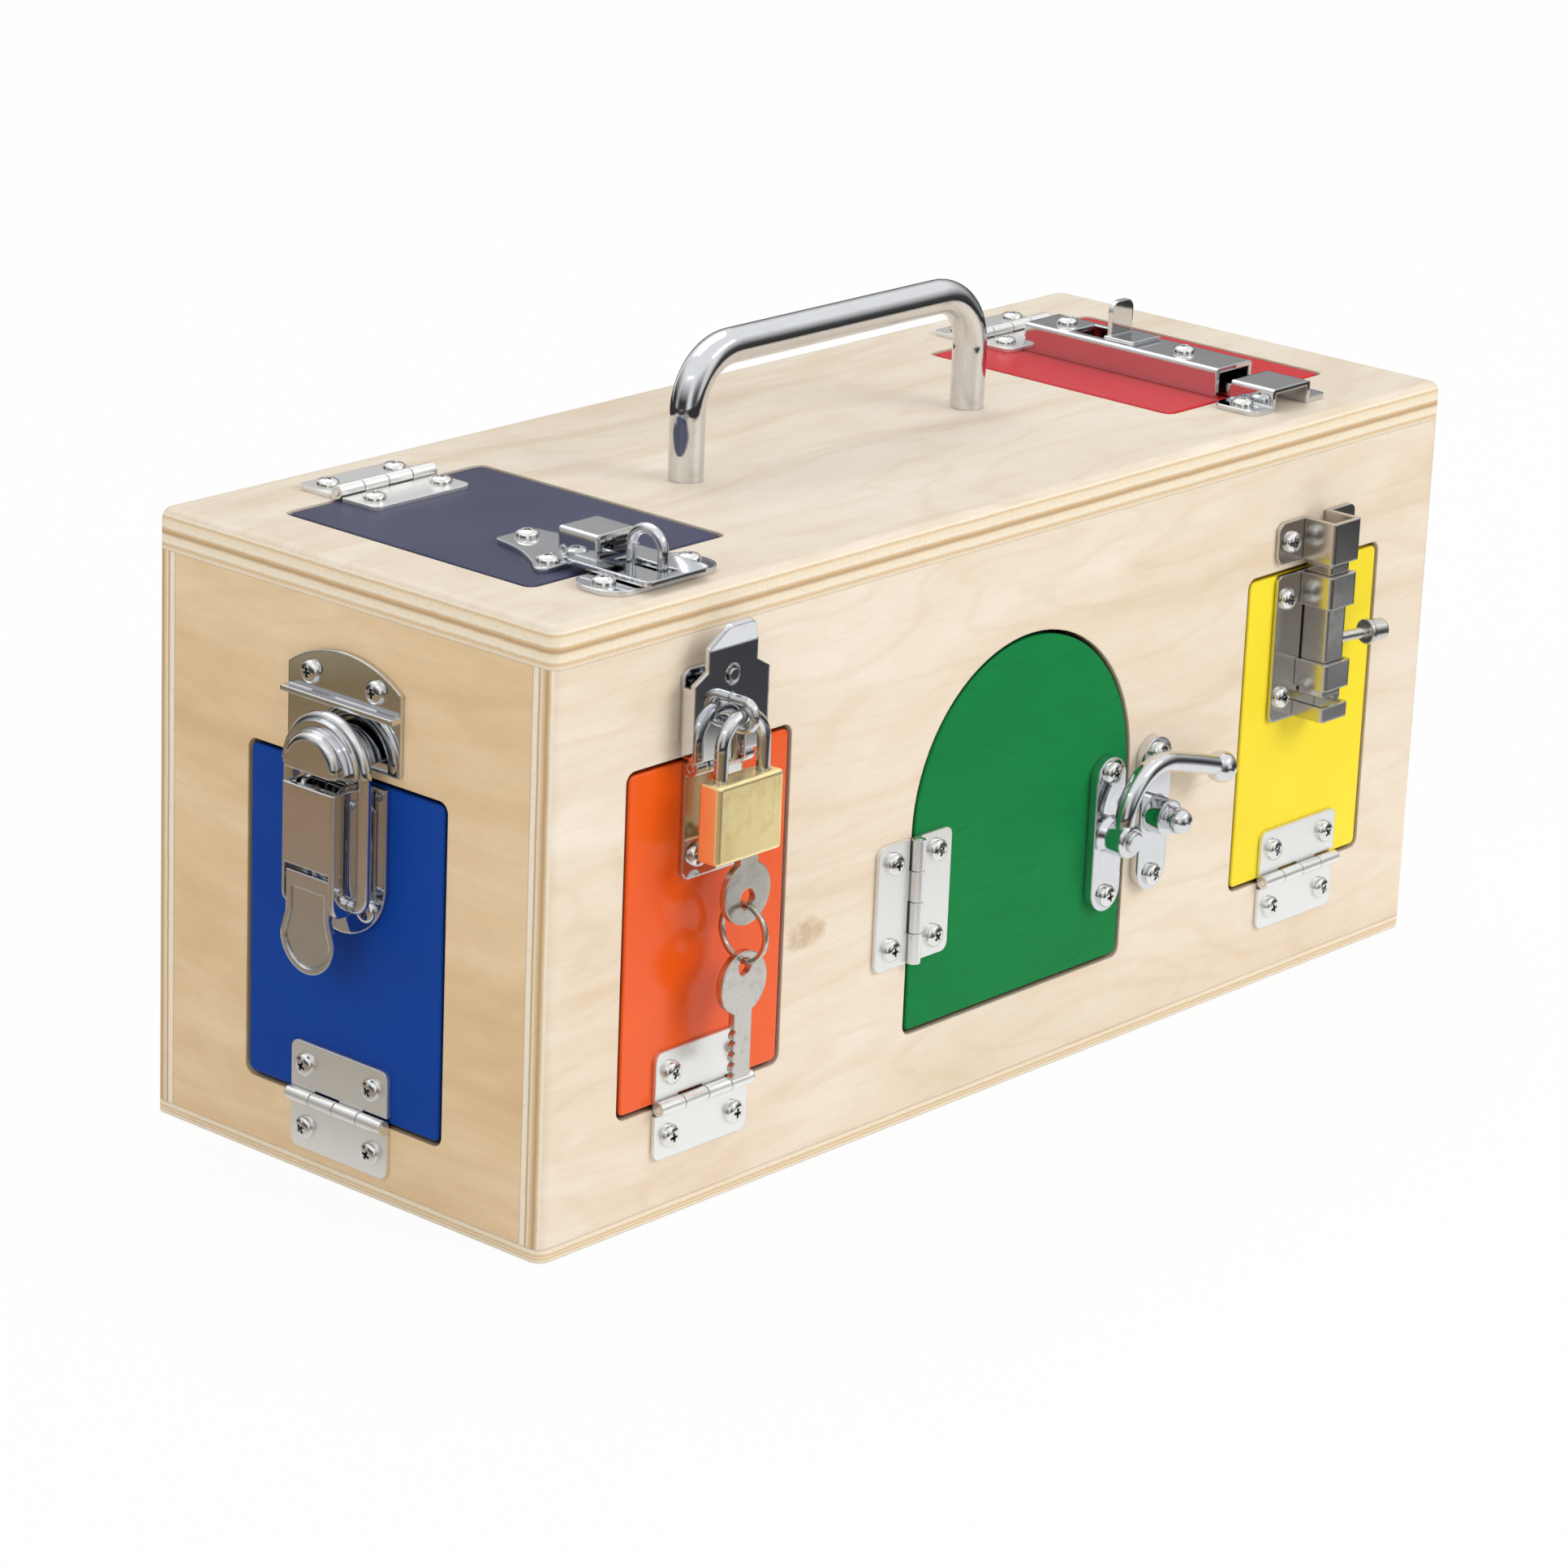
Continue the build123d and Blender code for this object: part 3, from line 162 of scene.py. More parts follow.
def between(start, value, low, high):
    return start.node("ShaderNodeMapRange", {}, {"Value": value, "From Min": low, "From Max": high})


shading = {"bevelSamples": 4, "fullEdge": 0.25, "gapShadeSamples": 6}


# Rounded edges in the highlights, and how much of an edge each point is
def softEdges(start, radius):
    rounded = start.node("ShaderNodeBevel", {"samples": shading["bevelSamples"]}, {"Radius": radius})
    plain = start.node("ShaderNodeNewGeometry", {}, {}, "Normal")
    same = start.node("ShaderNodeVectorMath", {"operation": "DOT_PRODUCT"}, {0: rounded, 1: plain}, 1)
    return rounded, between(start, 1 - same, 0.0, shading["fullEdge"])


# How deep in a crack each point is: 1 in a narrow gap, 0 in the open. The finishes paint shade with it.
def crevice(start, reach, local=False):
    settings = {"samples": shading["gapShadeSamples"], "only_local": local}
    return 1 - start.node("ShaderNodeAmbientOcclusion", settings, {"Distance": reach}, "AO")


def bumped(start, height, work, normal):
    return start.node("ShaderNodeBump", {}, {
        "Strength": work["bump"], "Distance": work["bumpDepth"], "Height": height, "Normal": normal})


# Birch plywood: rotary-cut face veneer, and plies that show wherever an edge is cut.
# Scales are along the grain, across it and through the sheet; spans say where a mark starts and is full.
birch = {
    "pale": seen(242, 229, 206), "figure": seen(214, 186, 146), "fleck": seen(186, 152, 110),
    "glueLine": seen(188, 154, 112), "coreWarm": seen(218, 188, 146), "corePale": seen(238, 221, 192),
    "sway": {"scale": (7.0, 11.0, 5.0), "detail": 2.0},
    "clouds": {"scale": (13.0, 30.0, 9.0), "detail": 3.0, "roughness": 0.55, "distortion": 0.7},
    "mottle": {"scale": (75.0, 150.0, 60.0), "detail": 3.0, "roughness": 0.6, "distortion": 0.4},
    "bands": {"scale": (2.2, 95.0, 20.0), "detail": 4.0, "roughness": 0.6}, "bandSway": 5.0,
    "fibres": {"scale": (60.0, 1700.0, 900.0), "detail": 2.0},
    "flecks": {"scale": (210.0, 2100.0, 700.0), "detail": 1.0},
    "growth": {"scale": (5.0, 21.0, 5.0), "detail": 3.0, "roughness": 0.45}, "rings": 95.0, "ringWaver": 1.2,
    "cloudShare": 0.45, "bandShare": 0.35, "mottleShare": 0.20, "toneSpan": (0.36, 0.66),
    "bandSpan": (0.56, 0.70), "bandInk": 0.24, "ringSpan": (0.55, 1.0), "ringInk": 0.16,
    "fibreSpan": (0.50, 0.75), "fibreInk": 0.15, "fleckSpan": (0.66, 0.76), "fleckInk": 0.10,
    "knot": (-72.5 * mm, 53.5 * mm), "knotSize": (6.5 * mm, 3.4 * mm), "knotColour": seen(186, 148, 96),
    "swirl": {"scale": (260.0, 420.0, 1.0), "detail": 3.0, "roughness": 0.6},
    "knotRag": 2.4, "knotSpan": (0.1, 1.3), "knotInk": 0.6,
    "plyWaver": 0.05, "sawnFrom": 0.75, "sawnTo": 0.985,
    "speckle": {"scale": (900.0, 900.0, 900.0), "detail": 2.0},
    "speckleSpan": (0.5, 0.75), "speckleInk": 0.16,
    # painted shade: the dark brown below goes into gaps, joints and corners where light is kept out
    "gapShade": seen(62, 38, 24), "gapShadeReach": 1.8 * mm, "gapShadeSpan": (0.50, 0.78),
    "edgeRadius": 0.5 * mm, "fibreHeight": 0.7, "fleckHeight": 0.3, "bump": 0.10, "bumpDepth": 0.2 * mm,
    "roughness": 0.42, "fibreRough": 0.16, "sawnRough": 0.2, "shine": 0.35, "coat": 0.08, "coatRough": 0.35,
}
plies = {   # depth in share of the sheet, and what the saw shows there
    "thick": ((0.0, "pale"), (0.16, "pale"), (0.20, "coreWarm"), (0.27, "corePale"), (0.44, "pale"),
              (0.49, "coreWarm"), (0.58, "glueLine"), (0.66, "corePale"), (0.80, "pale"), (0.87, "coreWarm"),
              (1.0, "pale")),
    "thin": ((0.0, "pale"), (0.20, "pale"), (0.27, "coreWarm"), (0.36, "glueLine"), (0.48, "coreWarm"),
             (0.62, "corePale"), (0.70, "glueLine"), (0.78, "pale"), (1.0, "pale")),
    "soft": ((0.0, "pale"), (0.20, "pale"), (0.32, "corePale"), (0.46, "coreWarm"), (0.60, "corePale"),
             (0.72, "coreWarm"), (0.82, "pale"), (1.0, "pale")),
}
panels = {  # axes along the grain, across it and through the sheet, its plies, two veneer tones, seed
    "top_panel": ("XYZ", "thick", seen(242, 231, 216), seen(227, 210, 186), 0.0),
    "bottom_panel": ("XYZ", "soft", seen(242, 228, 208), seen(226, 206, 176), 3.1),
    "front_panel": ("XZY", "thin", seen(243, 230, 213), seen(230, 209, 181), 6.4),
    "back_panel": ("XZY", "thin", seen(244, 229, 208), seen(226, 203, 172), 9.7),
    "left_end_panel": ("YZX", "thin", seen(239, 213, 174), seen(219, 184, 136), 12.2),
    "right_end_panel": ("YZX", "thin", seen(243, 226, 203), seen(224, 199, 164), 15.8),
}


def birchPly(panel):
    order, stack, pale, tan, seed = panels[panel]
    material, start = newFinish("birch_" + panel)
    sheet = objectAxes(start, order)
    along, across, through = sheet
    low, high = (corner["XYZ".index(order[2])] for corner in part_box(panel))
    outside, inward = (high, -1) if high + low > 0 else (low, 1)
    fromFace = (through - outside) * (inward / (high - low))

    # broad clouds, wavy growth bands and rings, then fibres and short flecks
    sway = noise(start, sheet, birch["sway"], (seed, 0.0, 0.0))
    clouds = noise(start, sheet, birch["clouds"], (0.0, seed, 0.0))
    mottle = noise(start, sheet, birch["mottle"], (seed, 0.0, 0.0))
    bands = noise(start, sheet, birch["bands"], (seed, sway * birch["bandSway"], 0.0))
    fibres = noise(start, sheet, birch["fibres"], (0.0, 0.0, seed))
    flecks = noise(start, sheet, birch["flecks"], (seed, 0.0, 0.0))
    growth = noise(start, sheet, birch["growth"], (seed, 0.0, 0.0))
    rings = start.math("SINE", growth * birch["rings"] + mottle * birch["ringWaver"])
    mixed = clouds * birch["cloudShare"] + bands * birch["bandShare"] + mottle * birch["mottleShare"]
    veneer = start.blend(between(start, mixed, *birch["toneSpan"]), pale, tan)
    for kind, mark, ink in (("band", bands, "figure"), ("ring", rings, "figure"), ("fibre", fibres, "figure"),
                            ("fleck", flecks, "fleck")):
        strength = between(start, mark, *birch[kind + "Span"]) * birch[kind + "Ink"]
        veneer = start.blend(strength, veneer, birch[ink])

    if panel == "front_panel":
        knotX, knotZ = birch["knot"]
        sizeX, sizeZ = birch["knotSize"]
        swirl = noise(start, sheet, birch["swirl"])
        oval = ((along - knotX) / sizeX) ** 2.0 + ((across - knotZ) / sizeZ) ** 2.0
        reach = oval + (swirl - 0.5) * birch["knotRag"]
        strength = (1 - between(start, reach, *birch["knotSpan"])) * birch["knotInk"]
        veneer = start.blend(strength, veneer, birch["knotColour"])

    stops = [(at, birch[name]) for at, name in plies[stack]]
    depth = fromFace + (mottle - 0.5) * birch["plyWaver"]
    layers = start.node("ShaderNodeValToRGB", {"stops": stops}, {0: depth})
    faceShare = plies[stack][1][0]
    inside = (fromFace > faceShare * birch["sawnFrom"]) * (fromFace < birch["sawnTo"])
    speckle = noise(start, sheet, birch["speckle"])
    strength = between(start, speckle, *birch["speckleSpan"]) * birch["speckleInk"]
    colour = start.blend(inside, veneer, start.blend(strength, layers, birch["glueLine"]))
    # painted shade: dark brown blended in wherever the surface is occluded, in door gaps and corners
    gapShades = between(start, crevice(start, birch["gapShadeReach"]), *birch["gapShadeSpan"])
    colour = start.blend(gapShades, colour, birch["gapShade"])

    rounded = softEdges(start, birch["edgeRadius"])[0]
    height = fibres * birch["fibreHeight"] + flecks * birch["fleckHeight"]
    rough = birch["roughness"] + (fibres - 0.5) * birch["fibreRough"] + inside * birch["sawnRough"]
    closeFinish(start, {
        "Base Color": colour, "Roughness": rough, "Normal": bumped(start, height, birch, rounded),
        "Specular IOR Level": birch["shine"], "Coat Weight": birch["coat"],
        "Coat Roughness": birch["coatRough"]})
    return material


# Paint on the doors: sprayed over sanded ply, so a ghost of the grain stays. Each door's darkest colour is
# painted shade for its gaps.
paints = {
    "blue_door": {"name": "satinBlue", "colour": seen(14, 66, 154), "deep": seen(10, 46, 116),
                  "gapShade": seen(8, 14, 34), "grain": "YZX", "rough": 0.38, "shine": 0.08, "coat": 0.02,
                  "scratch": 0.10},
    "orange_door": {"name": "glossOrange", "colour": seen(242, 92, 18), "deep": seen(212, 60, 8),
                    "gapShade": seen(84, 20, 6), "grain": "XZY", "rough": 0.22, "shine": 0.26, "coat": 0.30,
                    "scratch": 0.06},
    "green_door": {"name": "brushedGreen", "colour": seen(18, 130, 66), "deep": seen(8, 98, 48),
                   "gapShade": seen(4, 26, 14), "grain": "XZY", "rough": 0.40, "shine": 0.06, "coat": 0.02,
                   "scratch": 0.50},
    "yellow_door": {"name": "satinYellow", "colour": seen(250, 228, 48), "deep": seen(232, 196, 24),
                    "gapShade": seen(150, 92, 12), "grain": "XZY", "rough": 0.34, "shine": 0.15, "coat": 0.10,
                    "scratch": 0.06},
    "navy_door": {"name": "satinNavy", "colour": seen(68, 70, 96), "deep": seen(46, 46, 70),
                  "gapShade": seen(14, 13, 22), "grain": "XYZ", "rough": 0.42, "shine": 0.15, "coat": 0.05,
                  "scratch": 0.08},
    "red_door": {"name": "glossRed", "colour": seen(214, 36, 44), "deep": seen(180, 18, 30),
                 "gapShade": seen(70, 6, 12), "grain": "XYZ", "rough": 0.26, "shine": 0.12, "coat": 0.06,
                 "scratch": 0.06},
}
paintWork = {
    "clouds": {"scale": (30.0, 45.0, 30.0), "detail": 2.0},
    "ghost": {"scale": (40.0, 900.0, 300.0), "detail": 3.0},
    "strokes": {"scale": (120.0, 2600.0, 300.0), "detail": 2.0, "roughness": 0.6},
    "peel": {"scale": (1400.0, 1400.0, 1400.0), "detail": 1.0},
    "cloudSpan": (0.35, 0.7), "cloudInk": 0.22, "strokeSpan": (0.55, 0.78),
    "edgeRadius": 0.6 * mm, "edgeInk": 0.55,
    # how far and how strongly painted shade is laid into the gaps
    "gapShadeReach": 1.8 * mm, "gapShadeSpan": (0.40, 0.75), "gapShadeInk": 0.85,
    "ghostHeight": 0.5, "peelHeight": 0.25, "bump": 0.10, "bumpDepth": 0.15 * mm,
    "cloudRough": 0.12, "strokeRough": 0.3, "coatRough": 0.12,
}


def doorPaint(finish):
    material, start = newFinish(finish["name"])
    sheet = objectAxes(start, finish["grain"])
    clouds, ghost, strokes, peel = (noise(start, sheet, paintWork[name])
                                    for name in ("clouds", "ghost", "strokes", "peel"))
    rounded, edge = softEdges(start, paintWork["edgeRadius"])
    # painted shade: each door's darkest colour goes where its gaps are occluded
    gapShades = between(start, crevice(start, paintWork["gapShadeReach"]), *paintWork["gapShadeSpan"])
    cloudy = between(start, clouds, *paintWork["cloudSpan"]) * paintWork["cloudInk"]
    scratched = between(start, strokes, *paintWork["strokeSpan"]) * finish["scratch"]
    colour = start.blend(cloudy, finish["colour"], finish["deep"])
    colour = start.blend(scratched, colour, finish["deep"])
    colour = start.blend(edge * paintWork["edgeInk"], colour, finish["deep"])
    colour = start.blend(gapShades * paintWork["gapShadeInk"], colour, finish["gapShade"])
    height = ghost * paintWork["ghostHeight"] + peel * paintWork["peelHeight"] + strokes * finish["scratch"]
    strokeRough = (strokes - 0.5) * paintWork["strokeRough"] * finish["scratch"]
    rough = finish["rough"] + (clouds - 0.5) * paintWork["cloudRough"] + strokeRough
    closeFinish(start, {
        "Base Color": colour, "Roughness": rough, "Normal": bumped(start, height, paintWork, rounded),
        "Specular IOR Level": finish["shine"], "Coat Weight": finish["coat"],
        "Coat Roughness": paintWork["coatRough"]})
    return material


# Plated metal: a wavy stamped sheet under bright plate, with finger smudges and hairline scratches
metals = {
    "bright_chrome": {"colour": seen(219, 221, 224), "smudge": seen(198, 198, 197), "smudged": 0.35,
                      "rough": 0.05, "roughSpread": 0.12, "wave": 0.06, "waveScale": 95.0, "hairline": 0.08,
                      "bevel": 0.70 * mm, "metal": 1.0},
    "satin_chrome": {"colour": seen(206, 204, 200), "smudge": seen(184, 178, 168), "smudged": 0.40,
                     "rough": 0.20, "roughSpread": 0.12, "wave": 0.02, "waveScale": 95.0, "hairline": 0.10,
                     "bevel": 0.60 * mm, "metal": 1.0},
    "hinge_steel": {"colour": seen(238, 238, 236), "smudge": seen(224, 222, 217), "smudged": 0.12,
                    "rough": 0.30, "roughSpread": 0.10, "wave": 0.008, "waveScale": 90.0, "hairline": 0.04,
                    "bevel": 0.40 * mm, "metal": 0.88},
    "screw_nickel": {"colour": seen(232, 232, 230), "smudge": seen(206, 204, 198), "smudged": 0.30,
                     "rough": 0.10, "roughSpread": 0.12, "wave": 0.0, "waveScale": 120.0, "hairline": 0.10,
                     "bevel": 0.25 * mm, "metal": 1.0},
    "key_nickel": {"colour": seen(206, 203, 196), "smudge": seen(150, 145, 136), "smudged": 0.45,
                   "rough": 0.18, "roughSpread": 0.25, "wave": 0.06, "waveScale": 260.0, "hairline": 0.30,
                   "bevel": 0.50 * mm, "metal": 1.0},
    "padlock_brass": {"colour": seen(255, 236, 178), "smudge": seen(242, 208, 124), "smudged": 0.45,
                      "rough": 0.22, "roughSpread": 0.12, "wave": 0.02, "waveScale": 200.0, "hairline": 0.40,
                      "bevel": 0.55 * mm, "metal": 0.85},
}
metalWork = {
    "smudge": {"scale": (210.0, 210.0, 210.0), "detail": 4.0, "roughness": 0.65, "distortion": 0.6},
    "hairX": {"scale": (60.0, 3200.0, 3200.0), "detail": 2.0}, "swellDetail": 1.0,
    "hairZ": {"scale": (3200.0, 3200.0, 60.0), "detail": 2.0},
    "smudgeSpan": (0.48, 0.78), "hairSpan": (0.52, 0.66), "hairInk": 0.5, "edgeInk": 0.25,
    # the near-black below is painted shade for recesses such as the screws' cross recesses
    "recessShade": (0.010, 0.009, 0.009, 1.0), "recessShadeReach": 0.9 * mm, "recessShadeSpan": (0.30, 0.75), "recessShadeInk": 0.9,
    "hairRough": 0.35, "swellHeight": 10.0, "hairHeight": 0.06, "bump": 0.25, "bumpDepth": 0.25 * mm,
}


def platedMetal(name):
    finish = metals[name]
    material, start = newFinish(name)
    axes = objectAxes(start)
    swell = noise(start, axes, {"scale": (finish["waveScale"],) * 3, "detail": metalWork["swellDetail"]})
    smudge, hairX, hairZ = (noise(start, axes, metalWork[kind]) for kind in ("smudge", "hairX", "hairZ"))
    hair = (hairX + hairZ) / 2.0
    rounded, edge = softEdges(start, finish["bevel"])
    dull = between(start, smudge, *metalWork["smudgeSpan"])
    scratched = between(start, hair, *metalWork["hairSpan"]) * finish["hairline"] * metalWork["hairInk"]
    # painted shade: near-black laid into the part's own recesses and tight corners
    shadedRecess = between(start, crevice(start, metalWork["recessShadeReach"], True), *metalWork["recessShadeSpan"])
    colour = start.blend(dull * finish["smudged"], finish["colour"], finish["smudge"])
    colour = start.blend(scratched, colour, finish["smudge"])
    colour = start.blend(edge * metalWork["edgeInk"], colour, finish["colour"])
    colour = start.blend(shadedRecess * metalWork["recessShadeInk"], colour, metalWork["recessShade"])
    hairRough = (hair - 0.5) * finish["hairline"] * metalWork["hairRough"]
    rough = finish["rough"] + dull * finish["roughSpread"] * finish["smudged"] + hairRough
    height = (swell * finish["wave"] * metalWork["swellHeight"]
              + hair * finish["hairline"] * metalWork["hairHeight"])
    closeFinish(start, {"Base Color": colour, "Metallic": finish["metal"], "Roughness": rough,
                        "Normal": bumped(start, height, metalWork, rounded)})
    return material


finishes = {name: platedMetal(name) for name in metals}
for panel in panels:
    finishes[panel] = birchPly(panel)
for door, finish in paints.items():
    finishes[door] = doorPaint(finish)

# Each node by its own name or by its slot; the yellow latch is duller than the other latches
slotOf = {part["node"]: part["material_slot"] for part in frame["record"]["subparts"]}
for name, part in nodes.items():
    slot = slotOf[name]
    if slot == "bright_chrome" and name.startswith("yellow"):
        slot = "satin_chrome"
    part.data.materials.clear()
    part.data.materials.append(finishes.get(name) or finishes[slot])
print("finishes:", len(finishes), "on", len(nodes), "nodes")


# A Geometry Nodes tree with named inputs; its Wire adds the nodes
def newTree(name, inputs):
    tree = bpy.data.node_groups.new(name, "GeometryNodeTree")
    tree.interface.new_socket("Geometry", in_out="OUTPUT", socket_type="NodeSocketGeometry")
    tree.interface.new_socket("Geometry", in_out="INPUT", socket_type="NodeSocketGeometry")
    keys = {}
    for label, kind in inputs.items():
        added = tree.interface.new_socket(label, in_out="INPUT", socket_type="NodeSocket" + kind)
        keys[label] = added.identifier
    source = tree.nodes.new("NodeGroupInput")
    sockets = {socket.name: Wire(tree, socket) for socket in source.outputs if socket.name}
    return tree, Wire(tree), sockets, keys


def closeTree(start, shape, material):
    real = start.node("GeometryNodeRealizeInstances", {}, {0: shape})
    dressed = start.node("GeometryNodeSetMaterial", {}, {"Geometry": real, "Material": material})
    start.node("NodeGroupOutput", {}, {0: dressed})


# Runs a tree on an object and leaves a plain mesh
def growMesh(holder, tree, keys, values):
    scene.collection.objects.link(holder)
    modifier = holder.modifiers.new("grow", "NODES")
    modifier.node_group = tree
    for label, value in values.items():
        modifier[keys[label]] = value
    graph = bpy.context.evaluated_depsgraph_get()
    grown = bpy.data.meshes.new_from_object(holder.evaluated_get(graph))
    holder.modifiers.clear()
    holder.data = grown
    return holder


# Pan-head cross-recess screws, one mesh for each body that they are driven into
screws = {
    "Head diameter": 5.2 * mm, "Head height": 1.7 * mm, "Rim share": 0.38, "Recess span": 3.1 * mm,
    "Recess width": 0.85 * mm, "Recess depth": 1.15 * mm, "Shank diameter": 2.4 * mm, "Seed": 7,
}
screwForm = {
    "headSides": 40, "headRings": 9, "crownFall": 3.0, "crownRound": 0.62, "recessTaper": (-0.55, -0.35),
    "crease": math.radians(38), "shankSides": 16, "quarterTurn": math.pi / 2,
    "weld": 0.001 * mm, "headShare": 0.45,
}


def screwTree():
    inputs = {label: "Int" if label == "Seed" else "Float" for label in screws}
    tree, start, given, keys = newTree("panHeadScrews", {**inputs, "Finish": "Material"})
    radius = given["Head diameter"] / 2.0
    height = given["Head height"]
    rim = height * given["Rim share"]
    blank = start.node("GeometryNodeMeshCylinder", {"fill_type": "TRIANGLE_FAN"}, {
        "Vertices": screwForm["headSides"], "Side Segments": 1, "Fill Segments": screwForm["headRings"],
        "Radius": radius, "Depth": rim})
    place = start.node("GeometryNodeInputPosition")
    split = start.node("ShaderNodeSeparateXYZ", {}, {0: place})
    x, y, z = (Wire(tree, split.socket.node.outputs[axis]) for axis in "XYZ")
    out = start.math("MINIMUM", ((x ** 2.0 + y ** 2.0) ** 0.5) / radius, 1.0)
    dome = (1 - out ** screwForm["crownFall"]) ** screwForm["crownRound"]
    crown = (z > 0.0) * (height - rim) * dome
    lift = start.node("ShaderNodeCombineXYZ", {}, {2: crown + rim / 2.0})
    head = start.node("GeometryNodeSetPosition", {}, {"Geometry": blank, "Offset": lift})

    size = start.node("ShaderNodeCombineXYZ", {}, {
        0: given["Recess span"], 1: given["Recess width"], 2: given["Recess depth"] * 2.0})
    wing = start.node("GeometryNodeMeshCube", {}, {"Size": size})
    taperX, taperY = screwForm["recessTaper"]
    inward = start.node("ShaderNodeCombineXYZ", {}, {
        0: (z < 0.0) * x * taperX, 1: (z < 0.0) * y * taperY, 2: height})
    wing = start.node("GeometryNodeSetPosition", {}, {"Geometry": wing, "Offset": inward})
    crossWing = start.node("GeometryNodeTransform", {}, {
        "Geometry": wing, "Rotation": (0.0, 0.0, screwForm["quarterTurn"])})
    recess = start.node("GeometryNodeMeshBoolean", {"operation": "UNION", "solver": "EXACT"}, {
        "Mesh 2": [wing, crossWing]})
    recessed = start.node("GeometryNodeMeshBoolean", {"operation": "DIFFERENCE", "solver": "EXACT"}, {
        "Mesh 1": head, "Mesh 2": recess})
    smooth = start.node("GeometryNodeSetShadeSmooth", {"domain": "FACE"}, {"Geometry": recessed})
    bend = start.node("GeometryNodeInputMeshEdgeAngle")
    smooth = start.node("GeometryNodeSetShadeSmooth", {"domain": "EDGE"}, {
        "Geometry": smooth, "Selection": bend > screwForm["crease"], "Shade Smooth": False})

    outward = start.node("GeometryNodeInputNamedAttribute", {"data_type": "FLOAT_VECTOR"}, {
        "Name": "outward"})
    reach = start.node("GeometryNodeInputNamedAttribute", {"data_type": "FLOAT"}, {"Name": "reach"})
    upright = start.node("FunctionNodeAlignRotationToVector", {"axis": "Z"}, {"Vector": outward})
    angle = start.node("FunctionNodeRandomValue", {"data_type": "FLOAT"}, {
        2: 0.0, 3: screwForm["quarterTurn"], "Seed": given["Seed"]}, 1)
    spin = start.node("FunctionNodeAxisAngleToRotation", {}, {"Axis": (0.0, 0.0, 1.0), "Angle": angle})
    turned = start.node("FunctionNodeRotateRotation", {"rotation_space": "LOCAL"}, {0: upright, 1: spin})
    heads = start.node("GeometryNodeInstanceOnPoints", {}, {
        "Points": given["Geometry"], "Instance": smooth, "Rotation": turned})

    core = start.node("GeometryNodeMeshCylinder", {}, {
        "Vertices": screwForm["shankSides"], "Radius": given["Shank diameter"] / 2.0, "Depth": 1.0})
    core = start.node("GeometryNodeTransform", {}, {"Geometry": core, "Translation": (0.0, 0.0, -0.5)})
    length = start.node("ShaderNodeCombineXYZ", {}, {0: 1.0, 1: 1.0, 2: reach})
    shanks = start.node("GeometryNodeInstanceOnPoints", {}, {
        "Points": given["Geometry"], "Instance": core, "Rotation": upright, "Scale": length})
    both = start.node("GeometryNodeJoinGeometry", {}, {0: [heads, shanks]})
    closeTree(start, both, given["Finish"])
    return tree, keys


# The loose shells of a mesh, each as a list of its points
def looseShells(mesh):
    corners = {}
    points = []
    for vertex in mesh.vertices:
        key = tuple(round(part / screwForm["weld"]) for part in vertex.co)
        points.append(corners.setdefault(key, len(corners)))
    owner = list(range(len(corners)))

    def root(index):
        while owner[index] != index:
            owner[index] = owner[owner[index]]
            index = owner[index]
        return index

    for edge in mesh.edges:
        first, second = (root(points[index]) for index in edge.vertices)
        owner[first] = second
    shells = {}
    for vertex in mesh.vertices:
        shells.setdefault(root(points[vertex.index]), []).append(vertex.co.copy())
    return shells.values()


# Each screw of a node: where its head sits, which way it faces, how far it reaches in
def screwSeats(node):
    seats = []
    for shell in looseShells(nodes[node].data):
        low = Vector([min(point[axis] for point in shell) for axis in range(3)])
        high = Vector([max(point[axis] for point in shell) for axis in range(3)])
        middle = (low + high) / 2
        longest = max(range(3), key=lambda axis: high[axis] - low[axis])
        flat = [axis for axis in range(3) if axis != longest]
        wide = [point for point in shell if math.hypot(*(point[axis] - middle[axis] for axis in flat))
                > screwForm["headShare"] * screws["Head diameter"]]
        side = 1 if sum(point[longest] - middle[longest] for point in wide) > 0 else -1
        outward = Vector([side if axis == longest else 0 for axis in range(3)])
        top = high[longest] if side > 0 else low[longest]
        seat = middle.copy()
        seat[longest] = top - side * screws["Head height"]
        seats.append((seat, outward, high[longest] - low[longest] - screws["Head height"]))
    return seats


def driveScrews():
    tree, keys = screwTree()
    count = 0
    for body, members in frame["record"]["behaviour"]["bodies"].items():
        driven = [name for name in members if name.endswith("_screws")]
        if not driven:
            continue
        seats = [seat for name in driven for seat in screwSeats(name)]
        mesh = bpy.data.meshes.new(body + "_pan_heads")
        mesh.from_pydata([seat for seat, outward, reach in seats], [], [])
        mesh.attributes.new("outward", "FLOAT_VECTOR", "POINT")
        mesh.attributes.new("reach", "FLOAT", "POINT")
        for index, (seat, outward, reach) in enumerate(seats):
            mesh.attributes["outward"].data[index].vector = outward
            mesh.attributes["reach"].data[index].value = reach
        holder = bpy.data.objects.new(body + "_pan_heads", mesh)
        piece = growMesh(holder, tree, keys, {**screws, "Finish": finishes["screw_nickel"]})
        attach(piece, body)
        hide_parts(*driven)
        count += len(seats)
    print("screws driven:", count)


driveScrews()


# Split ring for the keys: flat wire wound twice round
splitRing = {"Wire width": 0.70 * mm, "Wire thickness": 1.15 * mm, "Edge": 0.22 * mm, "Turns": 2.0}
ringForm = {"steps": 72, "edgeSteps": 4, "hang": (0.0, math.pi / 2, 0.0)}


